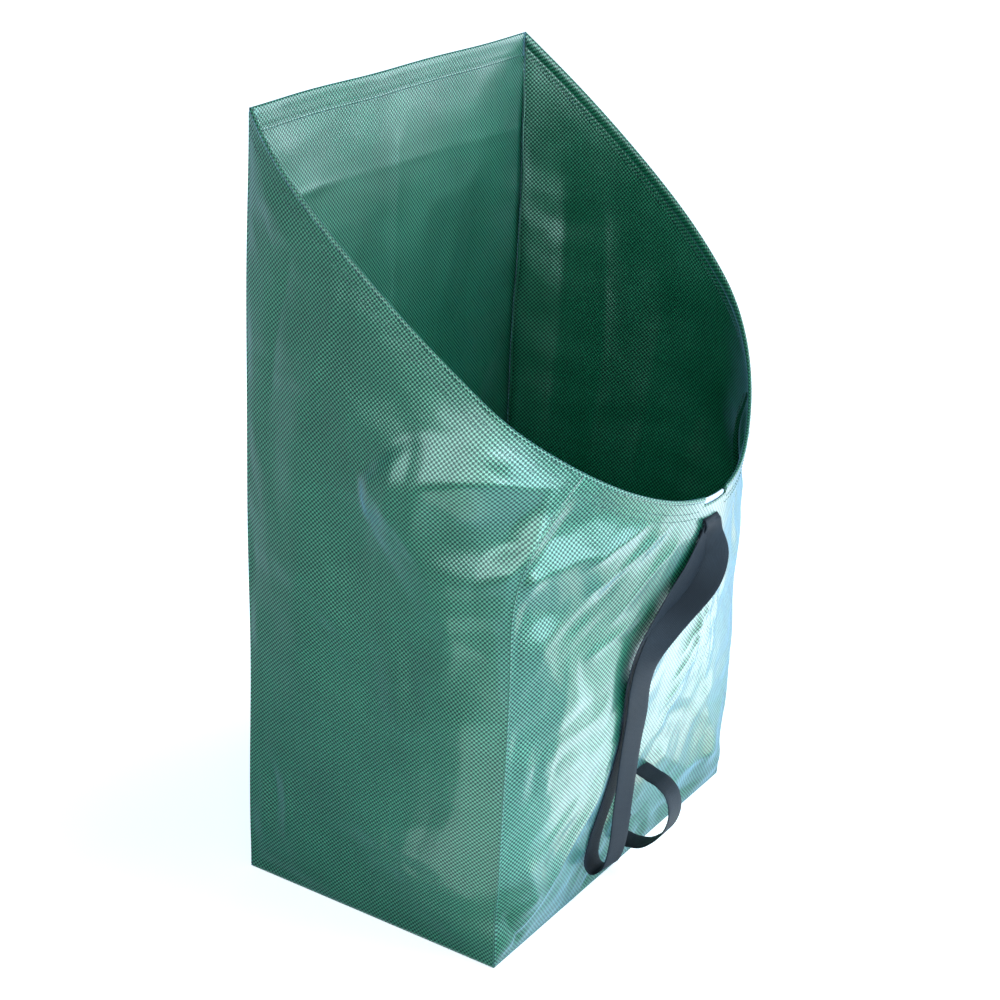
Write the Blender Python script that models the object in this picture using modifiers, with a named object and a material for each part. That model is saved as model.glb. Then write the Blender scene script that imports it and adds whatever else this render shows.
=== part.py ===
"""Leaf bag with a slanted scoop mouth, sewn from coated woven polyethylene sheet.

Metres, +Z up. The base stands on z = 0, centred on the origin. The tall flat back
faces +Y and the low front lip faces -Y. The left side is at -X.
"""

import math

import bmesh
import bpy
from mathutils import Matrix, Vector

# Overall size of the sewn bag
BAG_WIDTH = 0.520
BAG_DEPTH = 0.340
BAG_HEIGHT = 0.900
LIP_HEIGHT = 0.505
LIP_OVERHANG = 0.092

# The mouth rim swells past the sides between the back corner and the lip
SHOULDER_HEIGHT = 0.658
SHOULDER_INSET = 0.001
SHOULDER_BEHIND_FRONT = 0.050
BACK_CORNER_PULL = (-0.033, -0.068, -0.068)
SHOULDER_PULL_BACK = (-0.041, 0.110, 0.101)
SHOULDER_PULL_FRONT = (0.030, -0.080, -0.074)
LIP_PULL = 0.108

# The front corner seam climbs straight, then sweeps over to the rim
SEAM_STRAIGHT = 0.400
SEAM_SWEEP_START = 0.095
SEAM_SWEEP_END = (-0.034, 0.016, -0.046)
SEAM_ON_RIM = 1.40
SEAM_STRAIGHT_SHARE = 0.68
SIDE_SWELL_SPREAD = 2.5
FRONT_SWELL_SPREAD = 1.6

# Sheet, gaps and seams
SHEET = 0.0008
GAP = 0.0004
SEAM_WIDTH = 0.010
SEAM_THICKNESS = 0.0016
SEAM_STANDOFF = 0.0015
BASE_SEAM_WIDTH = 0.008

# Hem with its tunnel, and the springy strip inside it
HEM_WIDTH = 0.027
TUNNEL_WIDTH = 0.0145
TUNNEL_TAPER = 0.0035
HEM_CORNER_CLEARANCE = 0.0030
HEM_OPENING = 0.046
HEM_NOTCH = 0.0095
NOTCH_SIDE = 0.0025
STRIP_WIDTH = 0.012
STRIP_THICKNESS = 0.0012
STRIP_OVERRUN = 0.019
STRIP_CORNER_CLEARANCE = 0.006
STRIP_SPACING = 0.003

# Webbing
WEB_WIDTH = 0.030
WEB_THICKNESS = 0.0016
SLIT_CLEARANCE = 0.0006
TAIL_LENGTH = 0.024
TAIL_STANDOFF = 0.0009

# Carry strap, sewn in just under the lip
STRAP_DROP = 0.0315
STRAP_CLEARANCE = 0.0009
LEG_GAP = 0.0006
STRAP_HANG = 0.430
STRAP_DRIFT = 0.100
STRAP_STAND = 0.028
STRAP_BACK_GAP = 0.0020

# Base handle, a short loop sewn on low at the front
HANDLE_LOW = 0.041
HANDLE_HIGH = 0.143
HANDLE_BOW = 0.0385
HANDLE_CLEARANCE = 0.0015
HANDLE_ROOT_OVERRUN = 0.0055

# Mesh density
SIDE_COLUMNS = 14
FRONT_COLUMNS = 13
SWEEP_STEPS = 8
STRAP_STEPS = 3
ROUND_END_DEGREES = (0, 30, 55, 75)
SMOOTH_BELOW_DEGREES = 40

PARTS = "leaf_bag"
CUTTERS = "leaf_bag_cutters"

BACK_CORNER = Vector((-BAG_WIDTH / 2, BAG_DEPTH / 2, BAG_HEIGHT))
FRONT_FOOT = Vector((-BAG_WIDTH / 2, -BAG_DEPTH / 2, 0.0))
BACK_FOOT = Vector((-BAG_WIDTH / 2, BAG_DEPTH / 2, 0.0))
FRONT_MIDDLE = Vector((0.0, -BAG_DEPTH / 2, 0.0))
LIP = Vector((0.0, -BAG_DEPTH / 2 - LIP_OVERHANG, LIP_HEIGHT))
SHOULDER = Vector((-BAG_WIDTH / 2 + SHOULDER_INSET,
                   -BAG_DEPTH / 2 + SHOULDER_BEHIND_FRONT, SHOULDER_HEIGHT))
FRONT_UP = (LIP - FRONT_MIDDLE).normalized()
FRONT_OUT = Vector((0.0, -FRONT_UP.z, FRONT_UP.y))
LEAN = LIP_OVERHANG / LIP_HEIGHT
SLIT_HEIGHT = (LIP - FRONT_MIDDLE).length - STRAP_DROP
LEG_SPACING = WEB_THICKNESS + LEG_GAP
STRAP_TAIL_THICKNESS = LEG_SPACING + WEB_THICKNESS
STRAP_AXIS_OUT = STRAP_TAIL_THICKNESS / 2 + STRAP_CLEARANCE
HANDLE_AXIS_OUT = WEB_WIDTH / 2 + HANDLE_CLEARANCE
HANDLE_ROOT = HANDLE_AXIS_OUT + HANDLE_ROOT_OVERRUN


def clear_scene():
    for thing in list(bpy.data.objects):
        bpy.data.objects.remove(thing, do_unlink=True)


def linear(value):
    if value <= 0.04045:
        return value / 12.92
    return ((value + 0.055) / 1.055) ** 2.4


def material(name, hex_colour, roughness, metallic=0.0):
    made = bpy.data.materials.new(name)
    made.use_nodes = True
    shader = made.node_tree.nodes["Principled BSDF"]
    levels = [int(hex_colour[i:i + 2], 16) / 255 for i in (0, 2, 4)]
    shader.inputs["Base Color"].default_value = [linear(c) for c in levels] + [1.0]
    shader.inputs["Roughness"].default_value = roughness
    shader.inputs["Metallic"].default_value = metallic
    return made


def collection(name):
    made = bpy.data.collections.new(name)
    bpy.context.scene.collection.children.link(made)
    return made


def add_object(name, mesh, finish, origin=None):
    """Put a mesh in the parts collection; a moving piece gets its origin on its joint."""
    if origin is not None:
        mesh.transform(Matrix.Translation(-origin))
    thing = bpy.data.objects.new(name, mesh)
    if origin is not None:
        thing.location = origin
    bpy.data.collections[PARTS].objects.link(thing)
    mesh.materials.append(material(name + "_" + finish[0], finish[1], finish[2]))
    return thing


def grid_mesh(name, columns):
    """An open sheet from columns of points that run from the rim down to the base."""
    shell = bmesh.new()
    rows = [[shell.verts.new(p) for p in column] for column in columns]
    for left, right in zip(rows, rows[1:]):
        for j in range(len(left) - 1):
            shell.faces.new((left[j + 1], right[j + 1], right[j], left[j]))
    bmesh.ops.triangulate(shell, faces=shell.faces[:], quad_method="FIXED")
    mesh = bpy.data.meshes.new(name)
    shell.to_mesh(mesh)
    shell.free()
    return mesh


def loft_mesh(name, sections, depths=None, closed=False):
    """A closed solid through sections of the same number of points.

    Depths, one for each point of a section, set which way each face is split, so that
    a hem is split the same way as the sheet beside it.
    """
    solid = bmesh.new()
    rings = [[solid.verts.new(p) for p in section] for section in sections]
    count = len(sections[0])
    pairs = list(zip(rings, rings[1:]))
    if closed:
        pairs.append((rings[-1], rings[0]))
    for near, far in pairs:
        for j in range(count):
            k = (j + 1) % count
            if depths is not None and depths[k] > depths[j]:
                solid.faces.new((near[k], far[k], far[j], near[j]))
            else:
                solid.faces.new((near[j], near[k], far[k], far[j]))
    if not closed:
        solid.faces.new(rings[0])
        solid.faces.new(reversed(rings[-1]))
    bmesh.ops.triangulate(solid, faces=solid.faces[:], quad_method="FIXED")
    bmesh.ops.recalc_face_normals(solid, faces=solid.faces[:])
    mesh = bpy.data.meshes.new(name)
    solid.to_mesh(mesh)
    solid.free()
    return mesh


def box_mesh(name, low, high):
    solid = bmesh.new()
    bmesh.ops.create_cube(solid, size=1.0)
    size = high - low
    bmesh.ops.scale(solid, vec=size, verts=solid.verts[:])
    bmesh.ops.translate(solid, vec=low + size / 2, verts=solid.verts[:])
    mesh = bpy.data.meshes.new(name)
    solid.to_mesh(mesh)
    solid.free()
    return mesh


def mirrored_mesh(name, source):
    """The right-hand twin of a left-hand mesh."""
    twin = bmesh.new()
    twin.from_mesh(source)
    bmesh.ops.scale(twin, vec=(-1.0, 1.0, 1.0), verts=twin.verts[:])
    bmesh.ops.reverse_faces(twin, faces=twin.faces[:])
    mesh = bpy.data.meshes.new(name)
    twin.to_mesh(mesh)
    twin.free()
    return mesh


def thicken(thing):
    """Give a sheet its thickness, inwards from its outer face."""
    shell = thing.modifiers.new("sheet_thickness", "SOLIDIFY")
    shell.thickness = SHEET
    shell.offset = -1.0


def bezier(p0, p1, p2, p3, t):
    s = 1.0 - t
    return p0 * s ** 3 + p1 * (3 * s * s * t) + p2 * (3 * s * t * t) + p3 * t ** 3


def rim_point(v):
    """The left half of the rim: 0 at the back corner, 1 at the shoulder, 2 at the lip."""
    if v <= 1.0:
        return bezier(BACK_CORNER, BACK_CORNER + Vector(BACK_CORNER_PULL),
                      SHOULDER + Vector(SHOULDER_PULL_BACK), SHOULDER, v)
    return bezier(SHOULDER, SHOULDER + Vector(SHOULDER_PULL_FRONT),
                  LIP - Vector((LIP_PULL, 0.0, 0.0)), LIP, v - 1.0)


def seam_point(t):
    """The left front corner seam: 0 at the foot, 1 on the rim."""
    bend = FRONT_FOOT + Vector((0.0, 0.0, SEAM_STRAIGHT))
    if t <= SEAM_STRAIGHT_SHARE:
        return FRONT_FOOT.lerp(bend, t / SEAM_STRAIGHT_SHARE)
    top = rim_point(SEAM_ON_RIM)
    climb = bend + Vector((0.0, 0.0, SEAM_SWEEP_START))
    sweep = (t - SEAM_STRAIGHT_SHARE) / (1.0 - SEAM_STRAIGHT_SHARE)
    return bezier(bend, climb, top + Vector(SEAM_SWEEP_END), top, sweep)


def seam_swell(t):
    """How far the corner seam stands off the straight line from its foot to the rim."""
    return seam_point(t) - FRONT_FOOT.lerp(rim_point(SEAM_ON_RIM), t)


def side_point(s, t):
    """The left side's outer face: s from the back edge to the front seam, t up to the rim."""
    foot = BACK_FOOT.lerp(FRONT_FOOT, s)
    rim = rim_point(s * SEAM_ON_RIM)
    return foot.lerp(rim, t) + seam_swell(t) * s ** SIDE_SWELL_SPREAD


def front_point(a, t):
    """The left half of the front: a from the middle to the seam, t up to the rim.

    A flat triangle stands on the base with its tip at the lip. From its slanting edge
    a fan of sheet sweeps round from the lip to the corner seam.
    """
    middle = FRONT_MIDDLE.lerp(LIP, t)
    if a <= 1.0 - t:
        return middle + (FRONT_FOOT - FRONT_MIDDLE) * a
    turn = (a - 1.0 + t) / t
    rim = rim_point(2.0 - turn * (2.0 - SEAM_ON_RIM))
    return FRONT_FOOT.lerp(rim, t) + seam_swell(t) * turn ** FRONT_SWELL_SPREAD


def inward(surface, a, t):
    """The unit normal of a surface at a point, towards the inside of the bag."""
    step = 0.002
    low, high = max(0.0, a - step), min(1.0, a + step)
    along = surface(high, t) - surface(low, t)
    down = surface(a, max(0.0, t - step)) - surface(a, min(1.0, t + step))
    normal = along.cross(down).normalized()
    centre = Vector((0.0, 0.0, surface(a, t).z))
    if normal.dot(centre - surface(a, t)) < 0.0:
        normal.negate()
    return normal


def below_rim(surface, a, depth):
    """The height share of a point a given depth below the rim, down its own column."""
    length = (surface(a, 1.0) - surface(a, 0.0)).length
    return 1.0 - depth / length


def hem_depths():
    """Depths below the rim where the hem changes shape."""
    return [TUNNEL_WIDTH, TUNNEL_WIDTH + TUNNEL_TAPER, HEM_WIDTH]


def opening_share():
    """How far from the lip towards the seam the hem opening reaches on each side."""
    low, high = 0.0, 1.0
    for _ in range(40):
        middle = (low + high) / 2
        if -front_point(middle, 1.0).x < HEM_OPENING / 2:
            low = middle
        else:
            high = middle
    return low


def front_shares():
    """Places from the front middle to the seam, shared by the columns and the rows."""
    edge = opening_share()
    rest = [edge + (1.0 - edge) * k / (FRONT_COLUMNS - 1) for k in range(FRONT_COLUMNS)]
    return [0.0] + rest


def panel_rows(surface, share, edge):
    """Height shares down a column: the top edge, the hem's bands, and even rows below.

    The even rows are the same in the sides and the front, so that the seams meet.
    """
    depths = [edge] + hem_depths()
    bands = [below_rim(surface, share, depth) for depth in depths]
    return bands + [1.0 - place for place in front_shares()[2:]]


def side_columns():
    columns = []
    for s in [k / SIDE_COLUMNS for k in range(SIDE_COLUMNS + 1)]:
        rows = panel_rows(side_point, s, SHEET + GAP)
        columns.append([side_point(s, t) for t in rows])
    return columns


def front_columns():
    """Columns from the seam to the middle, with the notch for the hem opening."""
    shares = front_shares()
    side_of_notch = shares[1] + NOTCH_SIDE / (BAG_WIDTH / 2)
    columns = []
    for a in sorted(shares + [side_of_notch], reverse=True):
        edge = HEM_NOTCH if a <= shares[1] else SHEET + GAP
        rows = panel_rows(front_point, a, edge)
        columns.append([front_point(a, t) for t in rows])
    inset = SHEET + GAP
    for j, point in enumerate(columns[0]):
        columns[0][j] = point + (columns[1][j] - point).normalized() * inset
    return columns


def make_back_panel(sheet):
    half = BAG_WIDTH / 2 - SHEET - GAP
    low = Vector((-half, BAG_DEPTH / 2 - SHEET, 0.0))
    high = Vector((half, BAG_DEPTH / 2, BAG_HEIGHT - SHEET - GAP))
    add_object("back_panel", box_mesh("back_panel", low, high), sheet)


def make_side_panels(sheet):
    left = grid_mesh("left_side_panel", side_columns())
    right = mirrored_mesh("right_side_panel", left)
    for name, mesh in (("left_side_panel", left), ("right_side_panel", right)):
        mesh.shade_smooth()
        thicken(add_object(name, mesh, sheet))


def make_front_panel(sheet):
    mesh = grid_mesh("front_panel", front_columns())
    mesh.shade_smooth()
    panel = add_object("front_panel", mesh, sheet)
    mirror = panel.modifiers.new("right_half", "MIRROR")
    mirror.merge_threshold = 0.00001
    thicken(panel)
    for name, height, thickness in slits():
        cut = panel.modifiers.new(name, "BOOLEAN")
        cut.operation = "DIFFERENCE"
        cut.solver = "EXACT"
        cut.object = make_slit_cutter(name, height, thickness)


def make_base_panel(sheet):
    inset = SHEET + GAP
    low = Vector((-BAG_WIDTH / 2 + inset, -BAG_DEPTH / 2 + inset, 0.0))
    high = Vector((BAG_WIDTH / 2 - inset, BAG_DEPTH / 2 - inset, SHEET))
    add_object("base_panel", box_mesh("base_panel", low, high), sheet)


def slits():
    """The slits in the front: name, height up the panel, and thickness of what passes."""
    return [("carry_strap_slit", SLIT_HEIGHT, STRAP_TAIL_THICKNESS),
            ("handle_low_slit", HANDLE_LOW, WEB_THICKNESS),
            ("handle_high_slit", HANDLE_HIGH, WEB_THICKNESS)]


def on_front(out, up, x=0.0):
    """A point on the flat middle of the front, given its distance out and up the face."""
    return FRONT_MIDDLE + FRONT_OUT * out + FRONT_UP * up + Vector((x, 0.0, 0.0))


def front_prism(name, outline, half_width):
    """An outline of (out, up) points on the front, extruded along the bag's width."""
    sections = []
    for x in (-half_width, half_width):
        sections.append([on_front(out, up, x) for out, up in outline])
    return loft_mesh(name, sections)


def make_slit_cutter(name, height, thickness):
    half = thickness / 2 + SLIT_CLEARANCE
    reach = SHEET * 4
    outline = [(-reach, height - half), (reach, height - half),
               (reach, height + half), (-reach, height + half)]
    mesh = front_prism(name, outline, WEB_WIDTH / 2 + SLIT_CLEARANCE)
    cutter = bpy.data.objects.new(name, mesh)
    cutter.hide_render = True
    cutter.display_type = "WIRE"
    bpy.data.collections[CUTTERS].objects.link(cutter)
    return cutter


def tail_outline(height, thickness, reach, upwards):
    """A web end that lies flat inside the front and comes out through its slit."""
    inside = -(SHEET + TAIL_STANDOFF)
    half = thickness / 2
    way = 1.0 if upwards else -1.0
    near, far = height - way * half, height + way * half
    return [(reach, near), (reach, far), (inside, far),
            (inside, near + way * TAIL_LENGTH),
            (inside - thickness, near + way * TAIL_LENGTH), (inside - thickness, near)]


def make_tails(webbing):
    """The stitched web ends: one for the carry strap and two for the base handle."""
    strap = tail_outline(SLIT_HEIGHT, STRAP_TAIL_THICKNESS, 0.0, False)
    low = tail_outline(HANDLE_LOW, WEB_THICKNESS, HANDLE_ROOT, True)
    high = tail_outline(HANDLE_HIGH, WEB_THICKNESS, HANDLE_ROOT, False)
    ends = (("carry_strap_tail", strap), ("base_handle_tail_low", low),
            ("base_handle_tail_high", high))
    for name, outline in ends:
        add_object(name, front_prism(name, outline, WEB_WIDTH / 2), webbing)


def hem_section(points, normals):
    """One section of the hem, from points and normals at the rim and at the hem depths."""
    flat = SHEET + GAP
    proud = flat + STRIP_THICKNESS + GAP
    rim, tunnel, taper, edge = points
    over, side, slope, foot = normals
    down = (tunnel - rim).normalized() * SHEET
    return [rim, rim + over * (proud + SHEET),
            tunnel + side * (proud + SHEET), taper + slope * (flat + SHEET),
            edge + foot * (flat + SHEET), edge + foot * flat,
            taper + slope * flat, tunnel + side * proud,
            rim + down + over * proud, rim + down]


def hem_section_depths():
    first, second, third = hem_depths()
    return [0.0, 0.0, first, second, third, third, second, first, SHEET, SHEET]


def rim_stations(start, stop):
    """Stations along the left rim: (surface, share), from the back corner to the front.

    Start is a distance from the back corner and stop is a share of the front half.
    """
    first = start / (BAG_DEPTH * SEAM_ON_RIM)
    sides = [first] + [k / SIDE_COLUMNS for k in range(1, SIDE_COLUMNS)]
    fronts = [a for a in sorted(front_shares(), reverse=True) if a > stop]
    return [(side_point, s) for s in sides] + [(front_point, a) for a in fronts + [stop]]


def station_frame(station, depth):
    """The point and inward normal at a depth below the rim, shared at the seam."""
    surface, share = station
    t = below_rim(surface, share, depth)
    normal = inward(surface, share, t)
    if surface is front_point and share >= 1.0:
        normal = (normal + inward(side_point, 1.0, t)).normalized()
    return surface(share, t), normal


def make_side_hems(sheet):
    sections = []
    for station in rim_stations(HEM_CORNER_CLEARANCE, opening_share()):
        frames = [station_frame(station, depth) for depth in [0.0] + hem_depths()]
        sections.append(hem_section([f[0] for f in frames], [f[1] for f in frames]))
    left = loft_mesh("hem_left", sections, hem_section_depths())
    right = mirrored_mesh("hem_right", left)
    for name, mesh in (("hem_left", left), ("hem_right", right)):
        add_object(name, mesh, sheet)


def make_back_hem(sheet):
    half = BAG_WIDTH / 2 - 2 * (SHEET + GAP) - STRIP_THICKNESS - HEM_CORNER_CLEARANCE / 2
    flat = SHEET + GAP
    back, top = BAG_DEPTH / 2, BAG_HEIGHT
    profile = [(back, top), (back - flat - SHEET, top),
               (back - flat - SHEET, top - HEM_WIDTH), (back - flat, top - HEM_WIDTH),
               (back - flat, top - SHEET), (back, top - SHEET)]
    sections = [[Vector((x, y, z)) for y, z in profile] for x in (-half, half)]
    add_object("hem_back", loft_mesh("hem_back", sections), sheet)


def strip_section(station, width):
    """A section of the strip, centred in the hem tunnel."""
    middle = SHEET + GAP + STRIP_WIDTH / 2
    high, low = middle - width / 2, middle + width / 2
    near = SHEET + GAP
    far = near + STRIP_THICKNESS
    corners = []
    for depth, distance in ((high, near), (high, far), (low, far), (low, near)):
        point, normal = station_frame(station, depth)
        corners.append(point + normal * distance)
    return corners


def strip_end(share, towards):
    """Sections that round off a strip end on the front, stepping away from a share."""
    radius = STRIP_WIDTH / 2
    scale = opening_share() / (HEM_OPENING / 2)
    ends = []
    for degrees in ROUND_END_DEGREES:
        angle = math.radians(degrees)
        place = share + towards * radius * math.sin(angle) * scale
        ends.append(strip_section((front_point, place), STRIP_WIDTH * math.cos(angle)))
    return ends


def make_strips(plastic):
    """The left strip runs on across the hem opening; the right one stops inside its hem."""
    edge = opening_share()
    scale = edge / (HEM_OPENING / 2)
    stations = rim_stations(STRIP_CORNER_CLEARANCE, edge)
    left = [strip_section(station, STRIP_WIDTH) for station in stations]
    left.append(strip_section((front_point, 0.0), STRIP_WIDTH))
    across = STRIP_OVERRUN - STRIP_WIDTH / 2
    for section in strip_end(across * scale, 1.0):
        left.append([Vector((-p.x, p.y, p.z)) for p in section])
    shortened = edge + (STRIP_SPACING + STRIP_WIDTH / 2) * scale
    right = [strip_section(station, STRIP_WIDTH)
             for station in rim_stations(STRIP_CORNER_CLEARANCE, shortened)]
    right = right[:-1] + strip_end(shortened, -1.0)
    right_mesh = mirrored_mesh("mouth_strip_right", loft_mesh("strip_twin", right))
    add_object("mouth_strip_left", loft_mesh("mouth_strip_left", left), plastic)
    add_object("mouth_strip_right", right_mesh, plastic)


def corner_fin(corner, inwards, tangent):
    """A section of a seam allowance that stands in a corner of the bag."""
    across = inwards.cross(tangent).normalized() * (SEAM_THICKNESS / 2)
    near = corner + inwards * SEAM_STANDOFF
    far = near + inwards * SEAM_WIDTH
    return [near - across, near + across, far + across, far - across]


def make_back_seams(sheet):
    """Straight allowances in the two back corners."""
    inset = SHEET + GAP
    inwards = Vector((1.0, -1.0, 0.0)).normalized()
    up = Vector((0.0, 0.0, 1.0))
    foot = base_seam_top() + GAP
    top = BAG_HEIGHT - HEM_WIDTH - SEAM_STANDOFF
    sections = []
    for z in (foot, top):
        corner = Vector((-BAG_WIDTH / 2 + inset, BAG_DEPTH / 2 - inset, z))
        sections.append(corner_fin(corner, inwards, up))
    left = loft_mesh("seam_back_left", sections)
    right = mirrored_mesh("seam_back_right", left)
    add_object("seam_back_left", left, sheet)
    add_object("seam_back_right", right, sheet)


def make_front_seams(sheet):
    """Allowances that follow the front corner seams up to the hem."""
    length = (seam_point(1.0) - seam_point(0.0)).length
    low = (base_seam_top() + 2 * GAP) / length
    high = 1.0 - (HEM_WIDTH + SEAM_STANDOFF) / length
    straight = SEAM_STRAIGHT_SHARE
    sweeps = [straight + (high - straight) * k / SWEEP_STEPS
              for k in range(1, SWEEP_STEPS + 1)]
    sections = []
    for t in [low, straight] + sweeps:
        inwards = inward(side_point, 1.0, t) + inward(front_point, 1.0, t)
        inwards.normalize()
        tangent = (seam_point(min(1.0, t + 0.01)) - seam_point(t - 0.001)).normalized()
        corner = seam_point(t) + inwards * (SHEET + GAP) * math.sqrt(2.0)
        sections.append(corner_fin(corner, inwards, tangent))
    left = loft_mesh("seam_front_left", sections)
    right = mirrored_mesh("seam_front_right", left)
    add_object("seam_front_left", left, sheet)
    add_object("seam_front_right", right, sheet)


def base_seam_top():
    return SHEET + GAP + SEAM_THICKNESS


def make_base_seam(sheet):
    """The allowance of the base seam, folded flat on the base all the way round."""
    outer = SHEET + 2 * GAP
    inner = outer + BASE_SEAM_WIDTH
    low, high = SHEET + GAP, base_seam_top()
    sections = []
    for sx, sy in ((-1, -1), (1, -1), (1, 1), (-1, 1)):
        section = []
        for inset, z in ((outer, low), (outer, high), (inner, high), (inner, low)):
            section.append(Vector((sx * (BAG_WIDTH / 2 - inset),
                                   sy * (BAG_DEPTH / 2 - inset), z)))
        sections.append(section)
    add_object("seam_base", loft_mesh("seam_base", sections, closed=True), sheet)


def smooth_route(points, steps):
    """Points on a Catmull-Rom curve through rows of numbers, ends included."""
    padded = [points[0]] + points + [points[-1]]
    route = []
    for p0, p1, p2, p3 in zip(padded, padded[1:], padded[2:], padded[3:]):
        for i in range(steps):
            t = i / steps
            row = []
            for a, b, c, d in zip(p0, p1, p2, p3):
                bend = (2 * a - 5 * b + 4 * c - d) * t * t
                bend += (3 * b - a - 3 * c + d) * t ** 3
                row.append(0.5 * (2 * b + (c - a) * t + bend))
            route.append(row)
    route.append(list(points[-1]))
    return route


def web_sections(route, root):
    """Sections of flat webbing along a route of (x, y, z, turn in degrees, width).

    Root is the direction in which the web leaves what it is sewn to, at both its ends.
    """
    places = [Vector(row[:3]) for row in route]
    sections = []
    for i, row in enumerate(route):
        ahead = places[min(i + 1, len(places) - 1)]
        behind = places[max(i - 1, 0)]
        tangent = (ahead - behind).normalized()
        if i == 0:
            tangent = root
        if i == len(route) - 1:
            tangent = -root
        turn = math.radians(row[3])
        across = Vector((math.cos(turn), -math.sin(turn), 0.0))
        across = (across - tangent * across.dot(tangent)).normalized()
        face = tangent.cross(across) * (WEB_THICKNESS / 2)
        side = across * (row[4] / 2)
        place = places[i]
        sections.append([place - side - face, place + side - face,
                         place + side + face, place - side + face])
    return sections


def strap_axis():
    return on_front(STRAP_AXIS_OUT, SLIT_HEIGHT)


def make_carry_strap(webbing):
    """A long loop that hangs down the front, its two legs sewn together at the top.

    Each row is a share of the drift to the side, of the way from the back gap to the
    full stand off the front face, and of the hang, then the web's turn in degrees.
    """
    top = strap_axis()
    outer_leg = [(0.05, 0.13, 0.049, 20), (0.06, 0.53, 0.107, 48),
                 (-0.18, 0.62, 0.170, 50), (-0.48, 0.58, 0.242, 40),
                 (-0.74, 0.51, 0.319, 30), (-0.88, 0.39, 0.407, 22),
                 (-0.84, 0.33, 0.507, 18), (-0.76, 0.37, 0.600, 16),
                 (-0.72, 0.47, 0.693, 15), (-0.72, 0.68, 0.798, 14),
                 (-0.76, 0.97, 0.902, 12), (-0.80, 0.97, 0.970, 9),
                 (-0.83, 0.51, 0.995, 5)]
    inner_leg = [(-0.85, 0.10, 0.970, 2), (-0.84, 0.00, 0.891, 0),
                 (-0.78, 0.00, 0.798, 0), (-0.73, 0.00, 0.693, 0),
                 (-0.74, 0.00, 0.577, 0), (-0.85, 0.00, 0.472, 0),
                 (-0.94, 0.00, 0.384, 0), (-0.91, 0.05, 0.295, 4),
                 (-0.69, 0.10, 0.207, 6), (-0.38, 0.08, 0.135, 4),
                 (-0.12, 0.03, 0.067, 2)]
    front, back = top.y - LEG_SPACING / 2, top.y + LEG_SPACING / 2
    rows = [(0.0, front, top.z, 0.0, WEB_WIDTH)]
    for drift, stand, drop, turn in outer_leg + inner_leg:
        z = top.z - drop * STRAP_HANG
        gap = STRAP_BACK_GAP + stand * (STRAP_STAND - STRAP_BACK_GAP)
        y = -BAG_DEPTH / 2 - LEAN * z - gap - WEB_THICKNESS / 2
        rows.append((drift * STRAP_DRIFT, y, z, turn, WEB_WIDTH))
    rows.append((0.0, back, top.z, 0.0, WEB_WIDTH))
    sections = web_sections(smooth_route(rows, STRAP_STEPS), Vector((0.0, 0.0, -1.0)))
    mesh = loft_mesh("carry_strap", sections)
    mesh.shade_smooth()
    mesh.set_sharp_from_angle(angle=math.radians(SMOOTH_BELOW_DEGREES))
    add_object("carry_strap", mesh, webbing, origin=top)


def make_base_handle(webbing):
    """A short loop whose round ends lie between its two sewn roots.

    The bow is given as shares of its reach and of the height between its ends.
    """
    step = WEB_THICKNESS + GAP
    high, low = HANDLE_HIGH - step, HANDLE_LOW + step
    shares = [(0.0, 1.0), (0.39, 0.985), (0.77, 0.90), (1.0, 0.71), (1.0, 0.50),
              (0.82, 0.30), (0.44, 0.09), (0.0, 0.0)]
    bow = [[HANDLE_AXIS_OUT + HANDLE_BOW * reach, low + (high - low) * rise, WEB_WIDTH]
           for reach, rise in shares]
    ends = []
    for degrees in reversed(ROUND_END_DEGREES[1:]):
        angle = math.radians(degrees)
        ends.append((HANDLE_AXIS_OUT - WEB_WIDTH / 2 * math.sin(angle),
                     WEB_WIDTH * math.cos(angle)))
    rows = [(out, high, width) for out, width in ends]
    rows += smooth_route(bow, STRAP_STEPS)
    rows += [(out, low, width) for out, width in reversed(ends)]
    route = []
    for out, up, width in rows:
        place = on_front(out, up)
        route.append((place.x, place.y, place.z, 0.0, width))
    mesh = loft_mesh("base_handle", web_sections(route, FRONT_OUT))
    mesh.shade_smooth()
    mesh.set_sharp_from_angle(angle=math.radians(SMOOTH_BELOW_DEGREES))
    axis_point = on_front(HANDLE_AXIS_OUT, (high + low) / 2)
    add_object("base_handle", mesh, webbing, origin=axis_point)


def build():
    clear_scene()
    collection(PARTS)
    collection(CUTTERS)
    sheet = ("woven_sheet", "3a7666", 0.45)
    plastic = ("white_strip", "e8ecee", 0.30)
    webbing = ("webbing", "33383f", 0.75)
    make_back_panel(sheet)
    make_side_panels(sheet)
    make_front_panel(sheet)
    make_base_panel(sheet)
    make_back_hem(sheet)
    make_side_hems(sheet)
    make_strips(plastic)
    make_back_seams(sheet)
    make_front_seams(sheet)
    make_base_seam(sheet)
    make_tails(webbing)
    make_carry_strap(webbing)
    make_base_handle(webbing)


build()
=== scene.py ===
"""A standing leaf bag of coated woven sheet with a slanted scoop mouth, dressed over its
solids. Metres, +Z up, the tall flat back towards +Y and the low lip towards -Y."""

import math

import bmesh
import bpy
import numpy as np
from mathutils import Matrix, Vector
from mathutils.geometry import delaunay_2d_cdt


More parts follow.
